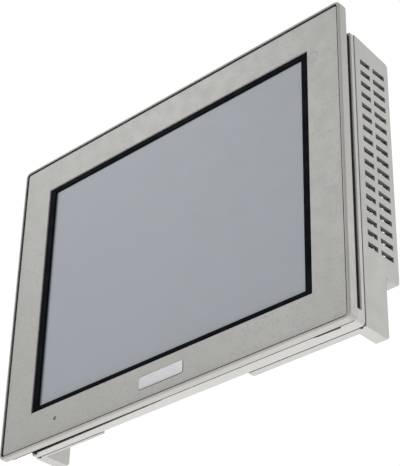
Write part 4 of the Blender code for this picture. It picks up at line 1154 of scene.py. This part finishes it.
@dataclass
class CableBay(Assembly):
    """The connectors under the back's step, with what shows in their mouths."""

    pin_radius: float = 0.5 * MM
    pin_pitch: float = 2.77 * MM
    row_gap: float = 2.84 * MM
    header_pin: float = 1.26 * MM
    header_pitch: float = 5.08 * MM
    header_pin_length: float = 8.05 * MM
    insert_drop: float = 5.9 * MM
    insert_half: Pair = (8.5 * MM, 4.2 * MM)
    insert_gap: float = 0.6 * MM
    bore_radius: float = 1.45 * MM
    tongue_inset: float = 2.4 * MM
    tongue_y: float = 2.5 * MM
    tongue_half: float = 0.93 * MM
    usb_pitch: float = 2.2 * MM
    lan_pitch: float = 1.02 * MM
    lamp_offset: float = 6.0 * MM
    rib_start: float = 9.0
    rib_pitch: float = 1.6
    edge: float = 0.15 * MM

    def build(self) -> list[Object]:
        """Dress every connector and add its inner pieces.

        Returns:
            The objects, nodes first.
        """
        made = []
        for number in (1, 2):
            posts = [f"serial_post_{number}_{side}" for side in ("left", "right")]
            made += self.dress_all([f"serial_port_{number}", *posts], Look.STEEL, self.edge)
            made += self.serial(f"serial_port_{number}")
            made += [self.post_bore(post) for post in posts]
            made.append(self.dress(f"usb_port_{number}", Look.STEEL, 0.1 * MM))
            made += self.usb(f"usb_port_{number}")
        made.append(self.dress("lan_port", Look.STEEL, self.edge))
        made += self.lan()
        made.append(self.dress("power_header", Look.GREEN, self.edge))
        made.append(self.dress("power_plug", Look.GREEN, 0.2 * MM))
        made += [self.plug_ribs(), self.header_pins()]
        made += [self.dress(f"terminal_screw_{n}", Look.STEEL, 0.06 * MM) for n in (1, 2, 3)]
        return made

    def serial(self, name: str) -> list[Object]:
        """Make a serial port's black insert and its nine pins.

        Args:
            name: the port's node.

        Returns:
            The insert and the pins.
        """
        low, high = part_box(name)
        centre_x, centre_y = (low.x + high.x) / 2, high.y - self.insert_drop
        face = low.z
        insert = Solid()
        for inset, along in ((0.9, 0.05), (0.7, -0.03)):
            width, height = self.insert_half
            half = (width - inset * MM - self.insert_gap, height - inset * MM)
            insert.loft(
                [(*half, 1.6 * MM, face + 0.4 * MM), (*half, 1.6 * MM, face + along * MM)],
                (centre_x, centre_y),
                Axis.Z,
            )
        body = insert.piece(f"{name}_insert", Look.BLACK)
        pins = Solid()
        for row, count in ((-0.5, 5), (0.5, 4)):
            for index in range(count):
                x = centre_x + (index - (count - 1) / 2) * self.pin_pitch
                y = centre_y - row * self.row_gap
                r = self.pin_radius
                profile = [(r, face + 0.2 * MM), (r, face - 0.5 * MM), (0.6 * r, face - 0.9 * MM)]
                pins.disc(profile, (x, y), Axis.Z, 3)
        return [body, pins.piece(f"{name}_pins", Look.GOLD)]

    def post_bore(self, name: str) -> Object:
        """Make the dark threaded bore that shows in a jack post's end.

        Args:
            name: the post's node.

        Returns:
            The bore's ring.
        """
        low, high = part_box(name)
        middle = ((low.x + high.x) / 2, (low.y + high.y) / 2)
        r = self.bore_radius
        profile = [(r, low.z + 0.3 * MM), (r, low.z - 0.04 * MM), (r - 0.25 * MM, low.z - 0.06 * MM)]
        profile += [(r - 0.35 * MM, low.z - 0.02 * MM)]
        return Solid().disc(profile, middle, Axis.Z, 5).piece(f"{name}_bore", Look.CHIP)

    def usb(self, name: str) -> list[Object]:
        """Make a USB port's tongue cover and its four contacts.

        Args:
            name: the port's node.

        Returns:
            The cover and the contacts.
        """
        low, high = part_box(name)
        x, y = (low.x + high.x) / 2, low.y + self.tongue_y
        start = (low.x + self.tongue_inset, y - self.tongue_half, low.z + 0.7 * MM)
        end = (high.x - self.tongue_inset, y + self.tongue_half, low.z + 9 * MM)
        cover = Solid().pad(start, end, 0.2 * MM, Axis.Z)
        contacts = Solid()
        for index in range(4):
            place = x + (index - 1.5) * self.usb_pitch
            start = (place - 0.5 * MM, y + 0.8 * MM, low.z + 1.1 * MM)
            contacts.pad(start, (place + 0.5 * MM, y + 1.1 * MM, low.z + 8 * MM), 0.1 * MM)
        return [cover.piece(f"{name}_tongue", Look.WHITE), contacts.piece(f"{name}_contacts", Look.GOLD)]

    def lan(self) -> list[Object]:
        """Make the network port's eight contacts and its two lamps.

        Returns:
            The contacts and the lamps.
        """
        low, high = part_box("lan_port")
        x = (low.x + high.x) / 2
        contacts = Solid()
        for index in range(8):
            place = x + (index - 3.5) * self.lan_pitch
            start = (place - 0.22 * MM, low.y + 2.1 * MM, low.z + 1.5 * MM)
            contacts.pad(start, (place + 0.22 * MM, low.y + 3.0 * MM, low.z + 11 * MM), 0.08 * MM)
        lamps = Solid()
        for side in (-1, 1):
            centre = x + side * self.lamp_offset
            start = (centre - 1.4 * MM, high.y - 2.6 * MM, low.z - 0.06 * MM)
            end = (centre + 1.4 * MM, high.y - 1.2 * MM, low.z + 0.5 * MM)
            lamps.pad(start, end, 0.1 * MM, Axis.Z)
        return [contacts.piece("lan_contacts", Look.GOLD), lamps.piece("lan_lamps", Look.LENS)]

    def header_pins(self) -> Object:
        """Make the plated sleeves of the header's three pins.

        Returns:
            The sleeves.
        """
        low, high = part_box("power_header")
        x, y = (low.x + high.x) / 2, (low.y + high.y) / 2
        half = self.header_pin / 2
        pins = Solid()
        for step in (-1, 0, 1):
            place = x + step * self.header_pitch
            start = (place - half, y - half, low.z - 0.02 * MM)
            pins.pad(start, (place + half, y + half, low.z + self.header_pin_length), 0.15 * MM, Axis.Z)
        return pins.piece("power_header_pins", Look.STEEL)

    def plug_ribs(self) -> Object:
        """Make the three grip ribs across the plug's face.

        Returns:
            The ribs.
        """
        low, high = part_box("power_plug")
        ribs = Solid()
        for step in range(3):
            z = low.z + (self.rib_start + self.rib_pitch * step) * MM
            end = (high.x - 1 * MM, low.y + 0.3 * MM, z + 0.7 * MM)
            ribs.pad((low.x + 1 * MM, low.y - 0.2 * MM, z), end, 0.18 * MM)
        return ribs.piece("power_plug_ribs", Look.GREEN, Body.PLUG)


# ---------------------------------------------------------------- inside


@dataclass
class Electronics(Assembly):
    """The boards and their parts, seen through the vents."""

    seed: int = 7
    part_count: int = 90
    clearance: float = 3
    lead_pitch: float = 1.27
    chips: tuple[tuple[float, float, float, float, float], ...] = (
        (-14.0, -10.0, 28.0, 28.0, 1.6),
        (40.0, 10.0, 20.0, 14.0, 1.2),
        (40.0, -16.0, 20.0, 14.0, 1.2),
        (-56.0, -12.0, 14.0, 20.0, 1.4),
        (-60.0, 22.0, 12.0, 18.0, 1.4),
        (-30.0, 34.0, 10.0, 10.0, 1.0),
        (88.0, 40.0, 12.0, 12.0, 1.4),
        (94.0, 68.0, 10.0, 14.0, 1.2),
    )

    def build(self) -> list[Object]:
        """Dress the boards and their large parts, and scatter the small ones.

        Returns:
            The objects, nodes first.
        """
        made = self.dress_all(("main_board", "power_board"), Look.BOARD, 0.08 * MM)
        made += self.dress_all(("capacitor_1", "capacitor_2"), Look.BLACK, 0.3 * MM)
        made += self.dress_all(("battery_holder", "speaker"), Look.BLACK, 0.15 * MM)
        made += [
            self.dress("battery", Look.STEEL, 0.2 * MM),
            self.dress("heat_sink", Look.ALUMINIUM, 0.12 * MM),
            self.dress("transformer", Look.TAPE, 0.8 * MM),
        ]
        return [*made, self.packages(), self.leads(), *self.small_parts(), self.cores(), self.vent_caps()]

    def face(self) -> float:
        """Y of the main board's rear face."""
        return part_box("main_board")[1].y

    def packages(self) -> Object:
        """Make the chips' black bodies.

        Returns:
            The bodies.
        """
        solid = Solid()
        for x, z, width, height, thick in self.chips:
            low = ((x - width / 2) * MM, self.face() + 0.2 * MM, (z - height / 2) * MM)
            high = ((x + width / 2) * MM, self.face() + thick * MM, (z + height / 2) * MM)
            solid.pad(low, high, 0.25 * MM)
        return solid.piece("chips", Look.CHIP)

    def leads(self) -> Object:
        """Make the rows of leads along two sides of each chip.

        Returns:
            The leads.
        """
        solid = Solid()
        for x, z, width, height, _ in self.chips:
            count = int(width / self.lead_pitch) - 1
            for index in range(count):
                place = (x + (index - (count - 1) / 2) * self.lead_pitch) * MM
                for side in (-1, 1):
                    edge = (z + side * height / 2) * MM
                    ends = sorted((edge - side * 0.2 * MM, edge + side * 1.2 * MM))
                    low = (place - 0.2 * MM, self.face() - 0.05 * MM, ends[0])
                    solid.pad(low, (place + 0.2 * MM, self.face() + 0.35 * MM, ends[1]), 0.06 * MM)
        return solid.piece("chip_leads", Look.STEEL)

    def small_parts(self) -> list[Object]:
        """Scatter surface-mount parts over the free board.

        Returns:
            The ceramic bodies and their metal ends.
        """
        draw = random.Random(self.seed)
        bodies, ends = Solid(), Solid()
        placed = 0
        while placed < self.part_count:
            x, z = draw.uniform(-112, 112), draw.uniform(-46, 80)
            upright = draw.random() < 0.5
            if self.occupied(x, z):
                continue
            placed += 1
            half = (0.6, 1.2) if upright else (1.2, 0.6)
            y = self.face()
            low = ((x - half[0]) * MM, y, (z - half[1]) * MM)
            bodies.pad(low, ((x + half[0]) * MM, y + 0.7 * MM, (z + half[1]) * MM), 0.1 * MM)
            for side in (-1, 1):
                shift = (0, side * 1.25) if upright else (side * 1.25, 0)
                cap = (0.62, 0.3) if upright else (0.3, 0.62)
                low = ((x + shift[0] - cap[0]) * MM, y, (z + shift[1] - cap[1]) * MM)
                high = ((x + shift[0] + cap[0]) * MM, y + 0.74 * MM, (z + shift[1] + cap[1]) * MM)
                ends.pad(low, high, 0.1 * MM)
        return [bodies.piece("chip_parts", Look.CERAMIC), ends.piece("chip_part_ends", Look.STEEL)]

    def occupied(self, x: float, z: float) -> bool:
        """Find whether a place on the board is under a large part.

        Args:
            x: the place's X, in millimetres.
            z: its Z, in millimetres.

        Returns:
            True if it is.
        """
        gap = self.clearance
        areas = []
        for cx, cz, w, h, _ in self.chips:
            areas.append((cx - w / 2 - gap, cx + w / 2 + gap, cz - h / 2 - gap, cz + h / 2 + gap))
        for name in ("heat_sink", "battery_holder", "card_socket", "power_board", "speaker"):
            low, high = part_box(name)
            areas.append((low.x / MM - gap, high.x / MM + gap, low.z / MM - gap, high.z / MM + gap))
        areas += [(px * 104 - 6, px * 104 + 6, pz - 6, pz + 6) for px in (-1, 1) for pz in (-53.5, 84)]
        areas.append((-105, 100, -60, -40))
        return any(a < x < b and c < z < d for a, b, c, d in areas)

    def cores(self) -> Object:
        """Make the transformer's ferrite core halves round its winding.

        Returns:
            The halves.
        """
        low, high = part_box("transformer")
        z = (low.z + high.z) / 2
        solid = Solid()
        for side in (-1, 1):
            edge = low.x if side < 0 else high.x
            ends = sorted((edge - side * 2.4 * MM, edge + side * 0.6 * MM))
            start = (ends[0], low.y + 1.5 * MM, z - 7 * MM)
            solid.pad(start, (ends[1], high.y - 1.5 * MM, z + 7 * MM), 0.5 * MM)
        return solid.piece("transformer_core", Look.CHIP)

    def vent_caps(self) -> Object:
        """Make the aluminium tops of the capacitors.

        Returns:
            The tops.
        """
        solid = Solid()
        for name in ("capacitor_1", "capacitor_2"):
            low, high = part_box(name)
            middle = ((low.x + high.x) / 2, (low.z + high.z) / 2)
            r = 3.3 * MM
            profile = [(r, high.y - 0.2 * MM), (r, high.y + 0.08 * MM), (r - 0.2 * MM, high.y + 0.14 * MM)]
            solid.disc([*profile, (0.4 * MM, high.y + 0.14 * MM)], middle)
        return solid.piece("capacitor_tops", Look.ALUMINIUM)


@dataclass
class CardBay(Assembly):
    """The card socket behind its small door on the left side."""

    contact_pitch: float = 1.27 * MM
    contact_count: int = 25
    contact_radius: float = 0.22 * MM

    def build(self) -> list[Object]:
        """Dress the socket, the button, the pin and the door, and add the socket's contacts.

        Returns:
            The objects, nodes first.
        """
        made = [
            self.dress("card_socket", Look.BLACK, 0.15 * MM),
            self.dress("eject_button", Look.BLACK, 0.25 * MM),
            self.dress("door_pin", Look.STEEL),
            self.dress("card_door", Look.HOUSING),
        ]
        return [*made, self.contacts(), self.grip()]

    def contacts(self) -> Object:
        """Make two rows of pins at the closed end of the slot.

        Returns:
            The pins.
        """
        low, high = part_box("card_socket")
        middle = (low + high) / 2
        solid = Solid()
        end = high.x - 3.4 * MM
        for row in (-0.6 * MM, 0.6 * MM):
            for index in range(self.contact_count):
                z = middle.z + (index - (self.contact_count - 1) / 2) * self.contact_pitch
                r = self.contact_radius
                profile = [(r, end), (r, end - 3.6 * MM), (0.5 * r, end - 4 * MM)]
                solid.disc(profile, (middle.y + row, z), Axis.X, 2)
        return solid.piece("card_contacts", Look.GOLD)

    def grip(self) -> Object:
        """Make three fine ridges on the eject button's end.

        Returns:
            The ridges.
        """
        low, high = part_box("eject_button")
        middle = (low + high) / 2
        solid = Solid()
        for step in (-1, 0, 1):
            z = middle.z + step * 0.8 * MM
            start = (low.x - 0.12 * MM, low.y + 0.4 * MM, z - 0.15 * MM)
            solid.pad(start, (low.x + 0.2 * MM, high.y - 0.4 * MM, z + 0.15 * MM), 0.06 * MM)
        return solid.piece("eject_button_grip", Look.BLACK, Body.BUTTON)


# ---------------------------------------------------------------- studio


@dataclass(frozen=True)
class Softbox:
    """A soft area light that faces the part."""

    name: str
    place: Colour
    size: Pair
    power: float
    aim: Colour = (0.0, 0.0, 0.0)

    def hang(self) -> Object:
        """Put the light in the scene and turn it towards its aim.

        Returns:
            The light's object.
        """
        light = bpy.data.lights.new(self.name, "AREA")
        light.shape = "RECTANGLE"
        light.size, light.size_y = self.size
        light.energy = self.power
        made = bpy.data.objects.new(self.name, light)
        made.location = self.place
        made.rotation_euler = (Vector(self.aim) - Vector(self.place)).to_track_quat("-Z", "Y").to_euler()
        made.visible_camera = False
        bpy.context.scene.collection.objects.link(made)
        return made


@dataclass
class Studio:
    """The pale floor and backdrop, the lights and the camera."""

    floor_z: float = -0.78
    floor_half: float = 4.0
    room: float = 0.55
    backdrop: float = 1.02
    lobe: Pair = (0.75, 0.92)
    backdrop_towards: Colour = (-0.57677, 0.61041, 0.54289)
    lens: float = 121.21
    place: Colour = (0.55820, -0.56854, -0.50887)
    right: Colour = (0.73560, 0.67711, 0.02018)
    up: Colour = (0.35529, -0.41099, 0.83956)
    lights: tuple[Softbox, ...] = (
        Softbox("key_light", (-0.38, -0.50, 0.50), (0.35, 0.35), 2.2),
        Softbox("side_light", (1.15, 0.75, 0.45), (0.7, 0.7), 6.6),
        Softbox("low_light", (0.02, 0.0, -0.72), (0.5, 0.5), 3.0),
    )

    def build(self) -> None:
        """Put up the floor, the world, the lights and the camera."""
        self.floor()
        self.sky()
        for light in self.lights:
            light.hang()
        self.camera()
        bpy.context.scene.view_settings.view_transform = "Standard"

    def floor(self) -> None:
        """Lay the plain pale floor."""
        mesh = bmesh.new()
        half = self.floor_half
        corners = ((-half, -half), (half, -half), (half, half), (-half, half))
        mesh.faces.new([mesh.verts.new((x, y, self.floor_z)) for x, y in corners])
        data = bpy.data.meshes.new("floor")
        mesh.to_mesh(data)
        mesh.free()
        made = bpy.data.objects.new("floor", data)
        bpy.context.scene.collection.objects.link(made)
        shader = Shader("floor_paper")
        tone = shader.ramp(shader.noise(0.4, 2.0), 0.3, 0.7, 0.88, 0.9)
        shader.feed(shader.bsdf.inputs["Base Color"], tone)
        shader.bsdf.inputs["Roughness"].default_value = 0.9
        data.materials.append(shader.material)

    def sky(self) -> None:
        """Light the room evenly, with a white backdrop on one side."""
        world = bpy.data.worlds.new("studio")
        world.use_nodes = True
        tree = world.node_tree
        background = tree.nodes["Background"]
        background.inputs["Color"].default_value = (1.0, 1.0, 1.0, 1.0)
        towards = tree.nodes.new("ShaderNodeVectorMath")
        towards.operation = "DOT_PRODUCT"
        towards.inputs[1].default_value = self.backdrop_towards
        tree.links.new(tree.nodes.new("ShaderNodeTexCoord").outputs["Generated"], towards.inputs[0])
        strength = tree.nodes.new("ShaderNodeMapRange")
        strength.interpolation_type = "SMOOTHSTEP"
        keys = ("From Min", "From Max", "To Min", "To Max")
        for key, value in zip(keys, (*self.lobe, self.room, self.backdrop)):
            strength.inputs[key].default_value = value
        tree.links.new(towards.outputs["Value"], strength.inputs["Value"])
        tree.links.new(strength.outputs[0], background.inputs["Strength"])
        bpy.context.scene.world = world

    def camera(self) -> None:
        """Place the camera by its right and up directions."""
        data = bpy.data.cameras.new("camera")
        data.lens = self.lens
        data.clip_start, data.clip_end = 0.01, 20.0
        made = bpy.data.objects.new("camera", data)
        right, up = Vector(self.right).normalized(), Vector(self.up).normalized()
        back = right.cross(up).normalized()
        turn = Matrix((right, back.cross(right).normalized(), back)).transposed().to_4x4()
        made.matrix_world = Matrix.Translation(self.place) @ turn
        bpy.context.scene.collection.objects.link(made)
        bpy.context.scene.camera = made


def main() -> None:
    """Load the frame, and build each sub-assembly in order."""
    logging.basicConfig(level=logging.INFO, format="%(message)s")
    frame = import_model()
    nodes = frame["nodes"]
    for assembly in (FrontFace, Screen, Housing, CableBay, Electronics, CardBay):
        for piece in assembly(nodes).build():
            LOG.info("%s: %s", assembly.__name__, piece.name)
    Studio().build()


if __name__ == "__main__":
    main()
